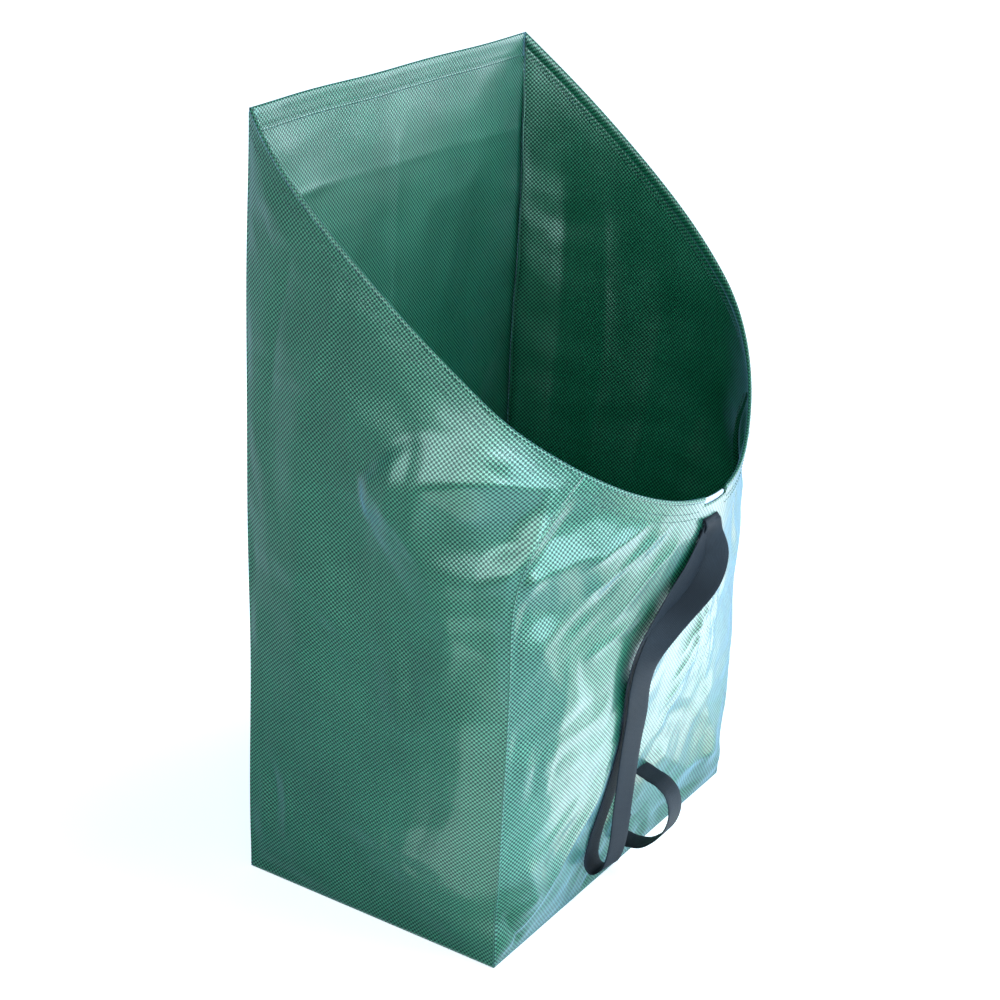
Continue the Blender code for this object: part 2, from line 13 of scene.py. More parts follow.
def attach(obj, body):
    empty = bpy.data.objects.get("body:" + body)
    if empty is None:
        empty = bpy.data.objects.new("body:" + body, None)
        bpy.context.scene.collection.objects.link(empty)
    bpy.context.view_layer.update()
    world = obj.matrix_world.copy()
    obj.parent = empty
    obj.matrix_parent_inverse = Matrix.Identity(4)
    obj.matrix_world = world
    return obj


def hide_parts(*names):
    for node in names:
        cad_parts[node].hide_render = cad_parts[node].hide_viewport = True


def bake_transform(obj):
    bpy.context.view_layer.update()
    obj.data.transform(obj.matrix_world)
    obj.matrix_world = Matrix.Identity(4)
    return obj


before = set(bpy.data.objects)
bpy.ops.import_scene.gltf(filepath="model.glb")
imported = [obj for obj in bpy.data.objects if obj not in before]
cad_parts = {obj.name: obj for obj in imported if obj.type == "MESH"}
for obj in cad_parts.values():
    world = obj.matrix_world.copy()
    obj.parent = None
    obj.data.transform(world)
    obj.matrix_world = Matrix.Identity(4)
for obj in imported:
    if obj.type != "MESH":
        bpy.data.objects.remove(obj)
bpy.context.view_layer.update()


# The camera. It stands 2 m out from the front left corner, above the mouth, and looks down
# at the bag through a long lens, with the slight tilt of a hand-held picture.
CAMERA_AT = Vector((-1.9318, -1.2002, 1.4126))
CAMERA_TURN = math.radians(57.88)
CAMERA_DOWN = math.radians(23.50)
CAMERA_ROLL = math.radians(2.58)
LENS_MM = 77.73
SENSOR_MM = 36.0


def camera_matrix():
    ahead = Vector((math.sin(CAMERA_TURN) * math.cos(CAMERA_DOWN),
                    math.cos(CAMERA_TURN) * math.cos(CAMERA_DOWN),
                    -math.sin(CAMERA_DOWN)))
    level = Vector((math.cos(CAMERA_TURN), -math.sin(CAMERA_TURN), 0.0))
    upright = level.cross(ahead)
    right = level * math.cos(CAMERA_ROLL) + upright * math.sin(CAMERA_ROLL)
    up = upright * math.cos(CAMERA_ROLL) - level * math.sin(CAMERA_ROLL)
    turned = Matrix((right, up, -ahead)).transposed().to_4x4()
    return Matrix.Translation(CAMERA_AT) @ turned


camera = bpy.data.objects.new("camera", bpy.data.cameras.new("camera"))
camera.data.lens = LENS_MM
camera.data.sensor_width = SENSOR_MM
camera.matrix_world = camera_matrix()
bpy.context.scene.collection.objects.link(camera)
bpy.context.scene.camera = camera


# The back panel. The one flat panel, cut from woven polyethylene tape cloth with a thin
# clear coating. Creases from storage run across and down it, and it bows a little.
BAG_WIDTH = 0.520
BAG_DEPTH = 0.340
BAG_HEIGHT = 0.900
CLOTH = 0.0005
BACK_COLUMNS = 141
BACK_ROWS = 201
TURN_DROP = 0.0012  # the panels end this far below the turned edge of their hems
BACK_CREASES = (
    ([(-0.26, 0.792), (0.26, 0.786)], 0.0012, 0.005, 0.003, 1.0, 0.04),
    ([(-0.26, 0.742), (-0.02, 0.738)], 0.0011, 0.003, 0.005, 1.0, 0.10),
    ([(0.01, 0.06), (0.0, 0.84)], 0.0020, 0.008, 0.020, 1.0, 0.05))
BACK_PRESS = 0.002  # dents towards the outside are pressed flat over this depth
EDGE_HOLD = 0.014
SETTLING = 0.0014
SETTLING_WAVE = 0.24
SETTLING_SHARE = 2.6  # the root of seven, so that seven waves add up to about one
SETTLING_START = 0.06
PUSHES = (  # where the mouth's shoulders stand out and the feet in: place, push and reach
    ((-0.262, -0.130, 0.590), (-0.006, -0.002, 0.0), 0.055),
    ((-0.250, -0.185, 0.500), (-0.005, -0.005, 0.0), 0.035),
    ((-0.260, -0.170, 0.060), (0.0030, 0.0030, 0.0), 0.030),
    ((0.245, -0.178, 0.480), (-0.0100, 0.0065, 0.0), 0.055),
    ((0.150, -0.225, 0.455), (-0.0030, 0.0080, 0.0), 0.055),
    ((0.260, -0.170, 0.060), (-0.0030, 0.0030, 0.0), 0.030))
TAPE_PITCH = 0.0025
TAPE_STREAKS = (420.0, 6.0)  # per metre: drawn streaks 2.4 mm wide and 170 mm long
FILM_PATCHES = 11.0          # per metre: uneven film in patches of 90 mm
FILM_CRACKLE = 30.0          # per metre: handling marks 33 mm apart
# painted shade: the dark tone of the tapes where they pass under, in the low places of the weave
TAPE_UNDER_SHADED = "013528"
TAPE_LIGHT = "1f8b5c"
TAPE_BLOOM = "b4dafa"


def linear(hex_colour):
    """Turns an sRGB hex colour into the linear colour that a shader takes."""
    levels = [int(hex_colour[i:i + 2], 16) / 255 for i in (0, 2, 4)]
    curve = [c / 12.92 if c <= 0.04045 else ((c + 0.055) / 1.055) ** 2.4 for c in levels]
    return (*curve, 1.0)


def add_node(tree, kind, inputs=None, **settings):
    """Adds a shader node. An input is given a value, or the socket or node that feeds it."""
    made = tree.nodes.new("ShaderNode" + kind)
    for name, value in settings.items():
        setattr(made, name, value)
    for name, value in (inputs or {}).items():
        if isinstance(value, bpy.types.Node):
            value = value.outputs[0]
        if isinstance(value, bpy.types.NodeSocket):
            tree.links.new(value, made.inputs[name])
        else:
            made.inputs[name].default_value = value
    return made


def new_material(name):
    """A material with an empty tree, and that tree."""
    made = bpy.data.materials.new(name)
    made.use_nodes = True
    made.node_tree.nodes.clear()
    return made, made.node_tree


def thread_waves(tree, place, lengths):
    """Sine waves along the cut and across it, of these lengths in metres."""
    axes = add_node(tree, "SeparateXYZ", {"Vector": place})
    waves = []
    for axis, length in zip("XY", lengths):
        turns = add_node(tree, "Math", {0: axes.outputs[axis], 1: 2.0 * math.pi / length},
                         operation="MULTIPLY")
        waves.append(add_node(tree, "Math", {0: turns}, operation="SINE"))
    return waves


def woven_polyethylene(name):
    """Coated woven polyethylene: flat tapes over and under each other, under a clear film.

    The film gives a soft gloss that turns milky at a low angle. The tapes are 2.2 mm wide
    and are drawn at 2.5 mm, because narrower ones don't show in a picture of this size.
    The darker tone where a tape passes under is painted shade in the low places of the
    weave, and it also draws the weave's pattern.
    """
    made, tree = new_material(name)
    place = add_node(tree, "UVMap", uv_map="cut")
    waves = thread_waves(tree, place, (2.0 * TAPE_PITCH, 2.0 * TAPE_PITCH))
    weave = add_node(tree, "Math", {0: waves[0], 1: waves[1]}, operation="MULTIPLY")
    over = add_node(tree, "MapRange", {"Value": weave, "From Min": -0.55, "From Max": 0.75},
                    interpolation_type="SMOOTHSTEP")
    streaks = []
    for stretch in ((*TAPE_STREAKS, 1.0), (*TAPE_STREAKS[::-1], 1.0)):
        drawn = add_node(tree, "Mapping", {"Vector": place, "Scale": stretch})
        streaks.append(add_node(tree, "TexNoise", {"Vector": drawn, "Scale": 1.0, "Detail": 1.0}))
    streak = add_node(tree, "Math", {0: streaks[0], 1: streaks[1]}, operation="ADD")
    patches = add_node(tree, "TexNoise", {
        "Vector": place, "Scale": FILM_PATCHES, "Detail": 3.0, "Roughness": 0.55})
    uneven = add_node(tree, "Math", {0: streak, 1: 0.50, 2: patches}, operation="MULTIPLY_ADD")
    shade = add_node(tree, "MapRange", {"Value": uneven, "From Min": 0.70, "From Max": 1.30,
                                        "To Min": 0.84, "To Max": 1.16})
    # The dark tone where a tape passes under is painted shade in the weave's low places; it also
    # draws the weave's pattern.
    tape = add_node(tree, "Mix", {"Factor": over, 6: linear(TAPE_UNDER_SHADED), 7: linear(TAPE_LIGHT)},
                    data_type="RGBA").outputs[2]
    colour = add_node(tree, "VectorMath", {0: tape, "Scale": shade}, operation="SCALE")
    gloss = add_node(tree, "MapRange", {"Value": patches, "From Min": 0.3, "From Max": 0.7,
                                        "To Min": 0.30, "To Max": 0.42})
    crackle = add_node(tree, "TexNoise", {"Vector": place, "Scale": FILM_CRACKLE, "Detail": 2.0,
                                          "Roughness": 0.5, "Distortion": 0.6})
    creased = add_node(tree, "Bump", {"Height": crackle, "Strength": 0.5, "Distance": 0.0010})
    relief = add_node(tree, "Bump", {"Height": weave, "Strength": 0.60, "Distance": 0.00022,
                                     "Normal": creased})
    shine = add_node(tree, "MapRange", {"Value": over, "To Min": 0.15, "To Max": 0.80})
    facing = add_node(tree, "LayerWeight", {"Blend": 0.5}).outputs["Facing"]
    low_angle = add_node(tree, "MapRange", {"Value": facing, "From Min": 0.34,
                                            "From Max": 0.57}, interpolation_type="SMOOTHSTEP")
    film = add_node(tree, "MapRange", {"Value": over, "To Min": 0.45, "To Max": 1.0})
    glare = add_node(tree, "Math", {0: low_angle, 1: film}, operation="MULTIPLY")
    coat = add_node(tree, "MapRange", {"Value": low_angle, "To Min": 0.50, "To Max": 1.0})
    clear = add_node(tree, "Math", {0: coat, 1: film}, operation="MULTIPLY")
    skin = add_node(tree, "BsdfPrincipled", {
        "Base Color": colour, "Roughness": gloss, "IOR": 1.51, "Normal": relief,
        "Specular IOR Level": shine, "Coat Weight": clear, "Coat Roughness": 0.20,
        "Coat IOR": 1.55, "Sheen Weight": glare, "Sheen Roughness": 0.30,
        "Sheen Tint": linear(TAPE_BLOOM)})
    add_node(tree, "OutputMaterial", {"Surface": skin})
    return made


def smooth_step(x):
    x = np.clip(x, 0.0, 1.0)
    return x * x * (3.0 - 2.0 * x)


def fold(u, v, path, height, left, right, sharp, fade):
    """A fold in a cut sheet along a path of (u, v) points, higher or lower by height.

    Left and right are how wide it falls off on each side of the path, and it fades out
    over a share of its length at both ends.
    """
    nearest = np.full(u.shape, np.inf)
    side, along, walked = np.zeros(u.shape), np.zeros(u.shape), 0.0
    for start, end in zip(path, path[1:]):
        leg = np.subtract(end, start)
        length = float(np.hypot(*leg))
        du, dv = u - start[0], v - start[1]
        share = np.clip((du * leg[0] + dv * leg[1]) / length ** 2, 0.0, 1.0)
        off = np.hypot(du - share * leg[0], dv - share * leg[1])
        closer = off < nearest
        nearest = np.where(closer, off, nearest)
        side = np.where(closer, leg[0] * dv - leg[1] * du, side)
        along = np.where(closer, walked + share * length, along)
        walked += length
    width = np.where(side > 0.0, left, right)
    ends = smooth_step(along / (fade * walked)) * smooth_step((walked - along) / (fade * walked))
    return height * np.exp(-(nearest / width) ** sharp) * ends


def folded(form, u, v, folds):
    """A form with a table of folds added: path, height, left, right, sharpness and fade."""
    for row in folds:
        form = form + fold(u, v, *row)
    return form


def swells(u, v, seed, size, height):
    """Soft uneven swells, as slack cloth has, about size apart."""
    chance = np.random.RandomState(seed)
    total = np.zeros(u.shape)
    for _ in range(8):
        angle = chance.uniform(0.0, math.pi)
        turns = 2.0 * math.pi / (size * chance.uniform(0.75, 1.6))
        shift = chance.uniform(0.0, 2.0 * math.pi)
        total += np.sin((u * math.cos(angle) + v * math.sin(angle)) * turns + shift)
    return total * height / math.sqrt(8.0)


def crumple(u, v, seed, size, height):
    """Small flat facets with crisp edges, as stiff coated cloth takes when it is folded."""
    bend_u = u + swells(u, v, seed + 1, size * 2.2, size * 0.30)
    bend_v = v + swells(u, v, seed + 2, size * 2.2, size * 0.30)
    chance = np.random.RandomState(seed)
    total = np.zeros(u.shape)
    for _ in range(5):
        angle = chance.uniform(0.0, math.pi)
        wave = size * chance.uniform(0.8, 1.7)
        place = (bend_u * math.cos(angle) + bend_v * math.sin(angle)) / wave
        total += np.abs((place + chance.uniform(0.0, 1.0)) % 1.0 - 0.5)
    return (total - 1.25) * height


def outward(points, facing):
    """Unit normals of a grid of points, on the side that facing points to."""
    normals = np.cross(np.gradient(points, axis=0), np.gradient(points, axis=1))
    normals /= np.maximum(np.linalg.norm(normals, axis=2, keepdims=True), 1e-9)
    middle = normals[normals.shape[0] // 2, normals.shape[1] // 2]
    return normals if middle @ np.asarray(facing) > 0.0 else -normals


def grid_mesh(name, points, cut, normals, skip=None):
    """A sheet through a grid of points, with the place of each point in the flat cut."""
    rows, columns = points.shape[:2]
    index = np.arange(rows * columns).reshape(rows, columns)
    faces = np.stack([index[:-1, :-1], index[:-1, 1:], index[1:, 1:], index[1:, :-1]], axis=2)
    faces = faces.reshape(-1, 4)
    if skip is not None:
        faces = faces[~skip[:-1, :-1].reshape(-1)]
    first = points.reshape(-1, 3)[faces[0]]
    turn = np.cross(first[1] - first[0], first[2] - first[0])
    if turn @ normals.reshape(-1, 3)[faces[0][0]] < 0.0:
        faces = faces[:, ::-1]
    mesh = bpy.data.meshes.new(name)
    mesh.from_pydata(points.reshape(-1, 3).tolist(), [], faces.tolist())
    lay_out(mesh, cut.reshape(-1, 2))
    return mesh


def lay_out(mesh, cut):
    """Gives each corner its place in the flat cut, in metres."""
    layer = mesh.uv_layers.new(name="cut")
    corners = np.empty(len(mesh.loops), dtype=np.int64)
    mesh.loops.foreach_get("vertex_index", corners)
    layer.data.foreach_set("uv", np.asarray(cut)[corners].ravel())
    mesh.shade_smooth()


def place_piece(mesh, finish, body, nodes):
    """Puts a piece, named as its mesh, in the scene in place of its solids. A rigid one
    rides on its body."""
    thing = bpy.data.objects.new(mesh.name, mesh)
    bpy.context.scene.collection.objects.link(thing)
    mesh.materials.append(finish)
    if body:
        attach(thing, body)
    if nodes:
        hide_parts(*nodes)
    return thing


def place_cloth(mesh, node):
    """Puts a piece of the bag's own cloth in place of its solid."""
    return place_piece(mesh, sheet_finish, "bag", [node])


def give_thickness(thing):
    """Gives a sheet the thickness of the cloth, inwards from its outer face."""
    layer = thing.modifiers.new("cloth_thickness", "SOLIDIFY")
    layer.thickness = CLOTH
    layer.offset = -1.0


def settled(points):
    """Sewn cloth never stands quite true: shifts points by slow waves, the same for every
    piece that meets there, and by the pushes. Heights shift half as much, and the base
    not at all."""
    x, y, z = points[..., 0], points[..., 1], points[..., 2]
    chance = np.random.RandomState(7)
    moved = np.zeros(points.shape)
    for _ in range(7):
        wave = chance.normal(size=3)
        wave *= 2.0 * math.pi / (SETTLING_WAVE * chance.uniform(0.7, 1.5) * np.linalg.norm(wave))
        turn = wave[0] * x + wave[1] * y + wave[2] * z + chance.uniform(0.0, 6.28)
        moved += np.sin(turn)[..., None] * chance.normal(size=3) * SETTLING / SETTLING_SHARE
    for centre, push, reach in PUSHES:
        near = np.linalg.norm(points - centre, axis=-1) / reach
        moved += np.exp(-near ** 2)[..., None] * np.array(push)
    return points + moved * (1.0, 1.0, 0.5) * smooth_step(z / SETTLING_START)[..., None]


def edge_hold(*distances):
    """0 at a sewn edge, rising to 1 away from it: the seams hold the cloth in place."""
    hold = 1.0
    for distance in distances:
        hold = hold * smooth_step(distance / EDGE_HOLD)
    return hold


sheet_finish = woven_polyethylene("woven_polyethylene_green")
back_u, back_v = np.meshgrid(np.linspace(-BAG_WIDTH / 2, BAG_WIDTH / 2, BACK_COLUMNS),
                             np.linspace(0.0, BAG_HEIGHT - TURN_DROP, BACK_ROWS)[::-1])
back_bow = swells(back_u, back_v, 3, 0.34, 0.0022) + crumple(back_u, back_v, 5, 0.085, 0.0016)
back_bow = folded(back_bow, back_u, back_v, BACK_CREASES)
back_bow *= edge_hold(back_u + BAG_WIDTH / 2, BAG_WIDTH / 2 - back_u, back_v, BAG_HEIGHT - back_v)
back_bow = BACK_PRESS * np.logaddexp(0.0, back_bow / BACK_PRESS)
back_points = settled(np.stack([back_u, BAG_DEPTH / 2 - back_bow, back_v], axis=2))
back_normals = outward(back_points, (0.0, 1.0, 0.0))
back_cut = np.stack([back_u, back_v], axis=2)
back_panel = place_cloth(
    grid_mesh("back_panel_cloth", back_points, back_cut, back_normals), "back_panel")
give_thickness(back_panel)


# The side panels. Cut from the same cloth with a long curved top edge. The springy mouth
# pushes them out below the rim, and towards the front they swing in to the corner seam.
SHOULDER_HEIGHT = 0.658
SHOULDER_INSET = 0.001
SHOULDER_BEHIND_FRONT = 0.050
LIP_HEIGHT = 0.505
LIP_OVERHANG = 0.092
BACK_CORNER_PULL = (-0.033, -0.068, -0.068)
SHOULDER_PULL_BACK = (-0.041, 0.110, 0.101)
SHOULDER_PULL_FRONT = (0.030, -0.080, -0.074)
LIP_PULL = 0.108
SEAM_STRAIGHT = 0.400
SEAM_STRAIGHT_SHARE = 0.68
SEAM_SWEEP_START = 0.095
SEAM_SWEEP_END = (-0.034, 0.016, -0.046)
SEAM_ON_RIM = 1.40
SIDE_SWELL_SPREAD = 2.5
HEM_STITCHES = (0.0165, 0.0245)
HEM_DEPTHS = (TURN_DROP, 0.0040, 0.0067, 0.0095, 0.0130, HEM_STITCHES[0], 0.0205,
              HEM_STITCHES[1], 0.0285)
HEM_HOLD = (0.004, 0.050)  # folds begin this far below the rim, and are whole this much lower
DENT_CORNERS = (  # along the cut, up, and height in mm: the dented bulge under the rim
    (0.2175, 0.660, 1.0), (0.245, 0.612, 1.5), (0.186, 0.543, 14.0), (0.242, 0.558, 16.5),
    (0.290, 0.570, 16.0), (0.336, 0.573, 12.0), (0.380, 0.563, 4.0), (0.301, 0.614, 1.0),
    (0.333, 0.600, 2.0), (0.222, 0.502, 10.5), (0.249, 0.474, 6.5), (0.260, 0.443, 4.5),
    (0.280, 0.392, 3.0), (0.256, 0.499, 5.0), (0.298, 0.530, 1.0), (0.349, 0.532, -5.0),
    (0.305, 0.499, -3.0), (0.338, 0.504, -8.5), (0.315, 0.488, -4.0), (0.308, 0.462, 1.0),
    (0.346, 0.476, 4.0), (0.303, 0.440, 0.5), (0.210, 0.690, 0.0), (0.240, 0.680, 0.0),
    (0.262, 0.655, 0.0), (0.305, 0.628, 0.0), (0.345, 0.605, 0.0), (0.398, 0.580, 0.0),
    (0.205, 0.655, 0.0), (0.222, 0.612, 0.0), (0.198, 0.580, 0.5), (0.166, 0.546, 0.0),
    (0.170, 0.500, 0.0), (0.194, 0.472, 0.0), (0.220, 0.438, 0.0), (0.234, 0.406, 0.0),
    (0.262, 0.370, 0.0), (0.285, 0.320, 0.0), (0.320, 0.380, 0.0), (0.348, 0.440, 0.0),
    (0.370, 0.500, 0.0), (0.410, 0.555, 0.0), (0.140, 0.620, 0.0), (0.140, 0.480, 0.0),
    (0.200, 0.400, 0.0))
DENT_CREASES = ((0, 1, 2), (2, 3, 4, 5, 6), (2, 9, 10, 11, 12), (0, 7, 8, 6), (3, 13),
                (14, 16, 18, 17), (18, 19, 20), (28, 29, 30, 31, 32, 33, 34, 35))
FACET_EASING = 2
LEFT_SIDE_FOLDS = (
    ([(0.205, 0.40), (0.225, 0.36), (0.232, 0.28)], -0.0035, 0.020, 0.022, 1.4, 0.30),
    ([(0.070, 0.20), (0.078, 0.46), (0.100, 0.66)], 0.0040, 0.040, 0.030, 1.6, 0.30),
    ([(0.165, 0.16), (0.170, 0.38), (0.150, 0.56)], -0.0045, 0.045, 0.045, 1.8, 0.30),
    ([(0.300, 0.10), (0.296, 0.24), (0.300, 0.36)], 0.0035, 0.028, 0.022, 1.6, 0.30),
    ([(0.050, 0.094), (0.160, 0.118), (0.300, 0.168)], 0.0011, 0.010, 0.020, 1.2, 0.30),
    *(([(place, 0.045), (place + 0.004, 0.10), (place - 0.002, 0.165)],
       height, 0.006, 0.006, 1.4, 0.35)
      for place, height in ((0.018, 0.0022), (0.035, -0.0018), (0.052, 0.0020))),
    ([(0.030, 0.55), (0.058, 0.70), (0.085, 0.80)], -0.0022, 0.010, 0.014, 1.2, 0.30),
    ([(0.100, 0.60), (0.128, 0.70), (0.150, 0.765)], 0.0024, 0.012, 0.010, 1.2, 0.30))
RIGHT_SIDE_FOLDS = (
    ([(0.055, 0.34), (0.060, 0.56), (0.052, 0.78)], 0.0050, 0.018, 0.030, 1.3, 0.25),
    ([(0.115, 0.30), (0.125, 0.52), (0.110, 0.74)], -0.0050, 0.026, 0.016, 1.3, 0.25),
    ([(0.180, 0.34), (0.190, 0.50), (0.205, 0.64)], 0.0050, 0.026, 0.022, 1.4, 0.25),
    ([(0.240, 0.30), (0.262, 0.46), (0.300, 0.575)], -0.0045, 0.020, 0.028, 1.3, 0.25),
    ([(0.070, 0.12), (0.180, 0.145), (0.290, 0.125)], 0.0028, 0.012, 0.022, 1.2, 0.25))
SIDE_COLUMNS = 120
SIDE_ENDS = (0.004, 0.014)
PANEL_ROWS = 170

back_corner = np.array([-BAG_WIDTH / 2, BAG_DEPTH / 2, BAG_HEIGHT])
back_foot = np.array([-BAG_WIDTH / 2, BAG_DEPTH / 2, 0.0])
front_foot = np.array([-BAG_WIDTH / 2, -BAG_DEPTH / 2, 0.0])
front_middle = np.array([0.0, -BAG_DEPTH / 2, 0.0])
lip = np.array([0.0, -BAG_DEPTH / 2 - LIP_OVERHANG, LIP_HEIGHT])
shoulder = np.array([-BAG_WIDTH / 2 + SHOULDER_INSET,
                     -BAG_DEPTH / 2 + SHOULDER_BEHIND_FRONT, SHOULDER_HEIGHT])


def bezier(p0, p1, p2, p3, t):
    s = 1.0 - t
    return p0 * s ** 3 + p1 * (3 * s * s * t) + p2 * (3 * s * t * t) + p3 * t ** 3


def mix(a, b, t):
    return a + (b - a) * t


def rim_point(v):
    """The left half of the mouth: 0 at the back corner, 1 at the shoulder, 2 at the lip."""
    v = np.asarray(v, dtype=float)[..., None]
    rear = bezier(back_corner, back_corner + BACK_CORNER_PULL,
                  shoulder + SHOULDER_PULL_BACK, shoulder, np.clip(v, 0.0, 1.0))
    fore = bezier(shoulder, shoulder + SHOULDER_PULL_FRONT,
                  lip - (LIP_PULL, 0.0, 0.0), lip, np.clip(v - 1.0, 0.0, 1.0))
    return np.where(v <= 1.0, rear, fore)


def seam_point(t):
    """The left front corner seam: 0 at the foot, 1 on the rim."""
    t = np.asarray(t, dtype=float)[..., None]
    bend = front_foot + (0.0, 0.0, SEAM_STRAIGHT)
    top = rim_point(SEAM_ON_RIM)
    rise = mix(front_foot, bend, np.clip(t / SEAM_STRAIGHT_SHARE, 0.0, 1.0))
    sweep = np.clip((t - SEAM_STRAIGHT_SHARE) / (1.0 - SEAM_STRAIGHT_SHARE), 0.0, 1.0)
    curve = bezier(bend, bend + (0.0, 0.0, SEAM_SWEEP_START), top + SEAM_SWEEP_END, top, sweep)
    return np.where(t <= SEAM_STRAIGHT_SHARE, rise, curve)


def seam_swell(t):
    chord = mix(front_foot, rim_point(SEAM_ON_RIM), np.asarray(t, dtype=float)[..., None])
    return seam_point(t) - chord


def side_point(s, t):
    """The left side's outer face: s from the back edge to the front seam, t up to the rim."""
    foot = mix(back_foot, front_foot, s[..., None])
    rim = rim_point(s * SEAM_ON_RIM)
    bulge = seam_swell(t) * s[..., None] ** SIDE_SWELL_SPREAD
    return mix(foot, rim, t[..., None]) + bulge


def panel_rows(surface, share):
    """Height shares down one column: the hem's lines, then even rows to the base."""
    top = surface(np.array([share]), np.array([1.0]))
    foot = surface(np.array([share]), np.array([0.0]))
    length = np.linalg.norm(top - foot)
    hem = 1.0 - np.array(HEM_DEPTHS) / length
    below = np.linspace(0.0, 1.0, PANEL_ROWS)[1:]
    return np.concatenate([[1.0], hem, hem[-1] * (1.0 - below)])


def close_at_ends(count, ends):
    """Shares from 0 to 1, evenly spread, with a few more close to both ends."""
    near = [share for end in ends for share in (end, 1.0 - end)]
    return np.array(sorted(set(np.linspace(0.0, 1.0, count).tolist() + near)))


def panel_grid(surface, shares):
    """The points of a panel, and how far along the cloth each one is."""
    heights = np.stack([panel_rows(surface, share) for share in shares], axis=1)
    across = np.broadcast_to(shares, heights.shape)
    points = surface(across, heights)
    steps = np.diff(points, axis=1)
    run = np.cumsum(np.hypot(steps[..., 0], steps[..., 1]), axis=1)
    u = np.concatenate([np.zeros((len(heights), 1)), run], axis=1)
    return points, u, points[..., 2].copy()


def faceted(u, v, corners, creases):
    """Heights of a sheet that is bent flat between corners of (u, v, height in mm). Creases
    are strings of corner numbers that stay sharp, up to a few rounds of easing."""
    spots = [Vector(corner[:2]) for corner in corners]
    edges = [pair for crease in creases for pair in zip(crease, crease[1:])]
    places, _, triangles, origins, _, _ = delaunay_2d_cdt(spots, edges, [], 0, 1e-6)
    level = [corners[origin[0]][2] * 0.001 if origin else 0.0 for origin in origins]
    height = np.zeros(u.shape)
    for a, b, c in triangles:
        (ua, va), (ub, vb), (uc, vc) = places[a], places[b], places[c]
        twice = (ub - ua) * (vc - va) - (uc - ua) * (vb - va)
        if abs(twice) < 1e-9:
            continue
        to_b = ((u - ua) * (vc - va) - (uc - ua) * (v - va)) / twice
        to_c = ((ub - ua) * (v - va) - (u - ua) * (vb - va)) / twice
        within = (to_b >= -1e-6) & (to_c >= -1e-6) & (to_b + to_c <= 1.0 + 1e-6)
        flat = level[a] + (level[b] - level[a]) * to_b + (level[c] - level[a]) * to_c
        height = np.where(within, flat, height)
    for _ in range(FACET_EASING):
        padded = np.pad(height, 1, mode="edge")
        height = (padded[:-2, 1:-1] + padded[2:, 1:-1] + padded[1:-1, :-2] + padded[1:-1, 2:]
                  + 2.0 * height) / 6.0
    return height


def left_side_folds(u, v):
    """The dented fold under the rim, and the slack that hangs from it, seen from the left."""
    form = folded(faceted(u, v, DENT_CORNERS, DENT_CREASES), u, v, LEFT_SIDE_FOLDS)
    return form + crumple(u, v, 21, 0.075, 0.0014) + swells(u, v, 23, 0.16, 0.0012)


def right_side_folds(u, v):
    """Slack upright folds under the rim of the right side."""
    form = folded(0.0, u, v, RIGHT_SIDE_FOLDS)
    return form + crumple(u, v, 31, 0.080, 0.0015) + swells(u, v, 33, 0.17, 0.0016)


def sewn_hold(points, *edges):
    """0 where the seams, the base and the hem hold a panel's cloth, and 1 well away."""
    depth = np.linalg.norm(points - points[:1], axis=2)
    return edge_hold(*edges, points[..., 2]) * smooth_step((depth - HEM_HOLD[0]) / HEM_HOLD[1])


def turned_over(points):
    """The same points on the other side of the bag."""
    return points * (-1.0, 1.0, 1.0)


side_flat, side_u, side_v = panel_grid(side_point, close_at_ends(SIDE_COLUMNS, SIDE_ENDS))
side_out = outward(side_flat, (-1.0, 0.0, 0.0))
side_cut = np.stack([side_u, side_v], axis=2)
side_hold = sewn_hold(side_flat, side_u, side_u[:, -1:] - side_u)
side_grids = {}
for hand, folds, out_x in (("left", left_side_folds, -1.0), ("right", right_side_folds, 1.0)):
    grid = side_flat + side_out * (folds(side_u, side_v) * side_hold)[..., None]
    grid = settled(grid if hand == "left" else turned_over(grid))
    lean = outward(grid, (out_x, 0.0, 0.0))
    side_grids[hand] = (grid, lean)
    side_panel = place_cloth(
        grid_mesh(hand + "_side_cloth", grid[1:], side_cut[1:], lean[1:]), hand + "_side_panel")
    give_thickness(side_panel)


# The front panel. The same cloth, low, and pulled out at the middle by the springy lip.
# Creases run from the lip to the bottom corners, with a fan of wrinkles beside them. At the
# lip the hem is open, and the cloth is cut down there to bare the strip.
FRONT_SWELL_SPREAD = 1.6
CREASE_CURVE = 2.4
FAN_CORNERS = (  # the wrinkles that spread from the left corner seam
    (0.262, 0.484, -5.0), (0.234, 0.510, -7.0), (0.213, 0.530, -6.0), (0.188, 0.541, -3.0),
    (0.266, 0.462, 5.0), (0.225, 0.472, 7.5), (0.173, 0.484, 7.0), (0.125, 0.502, 4.0),
    (0.254, 0.439, 0.0), (0.215, 0.421, 1.0), (0.165, 0.427, 1.0), (0.116, 0.459, 1.0),
    (0.153, 0.452, 5.0), (0.240, 0.394, 5.5), (0.193, 0.385, 1.0), (0.250, 0.350, 1.0),
    (0.199, 0.315, 6.0), (0.238, 0.280, 1.0), (0.148, 0.300, 1.0), (0.205, 0.245, 5.0),
    (0.262, 0.250, 0.0), (0.215, 0.200, 0.0), (0.150, 0.220, 0.0), (0.105, 0.290, 0.0),
    (0.085, 0.380, 0.0), (0.070, 0.470, 0.0), (0.095, 0.530, 0.0), (0.160, 0.560, 0.0),
    (0.215, 0.565, 0.0), (0.270, 0.520, 0.0), (0.270, 0.380, 0.0))
FAN_CREASES = ((0, 1, 2, 3), (4, 5, 6, 7), (8, 9, 10), (5, 12), (13, 16, 19), (9, 14, 18))
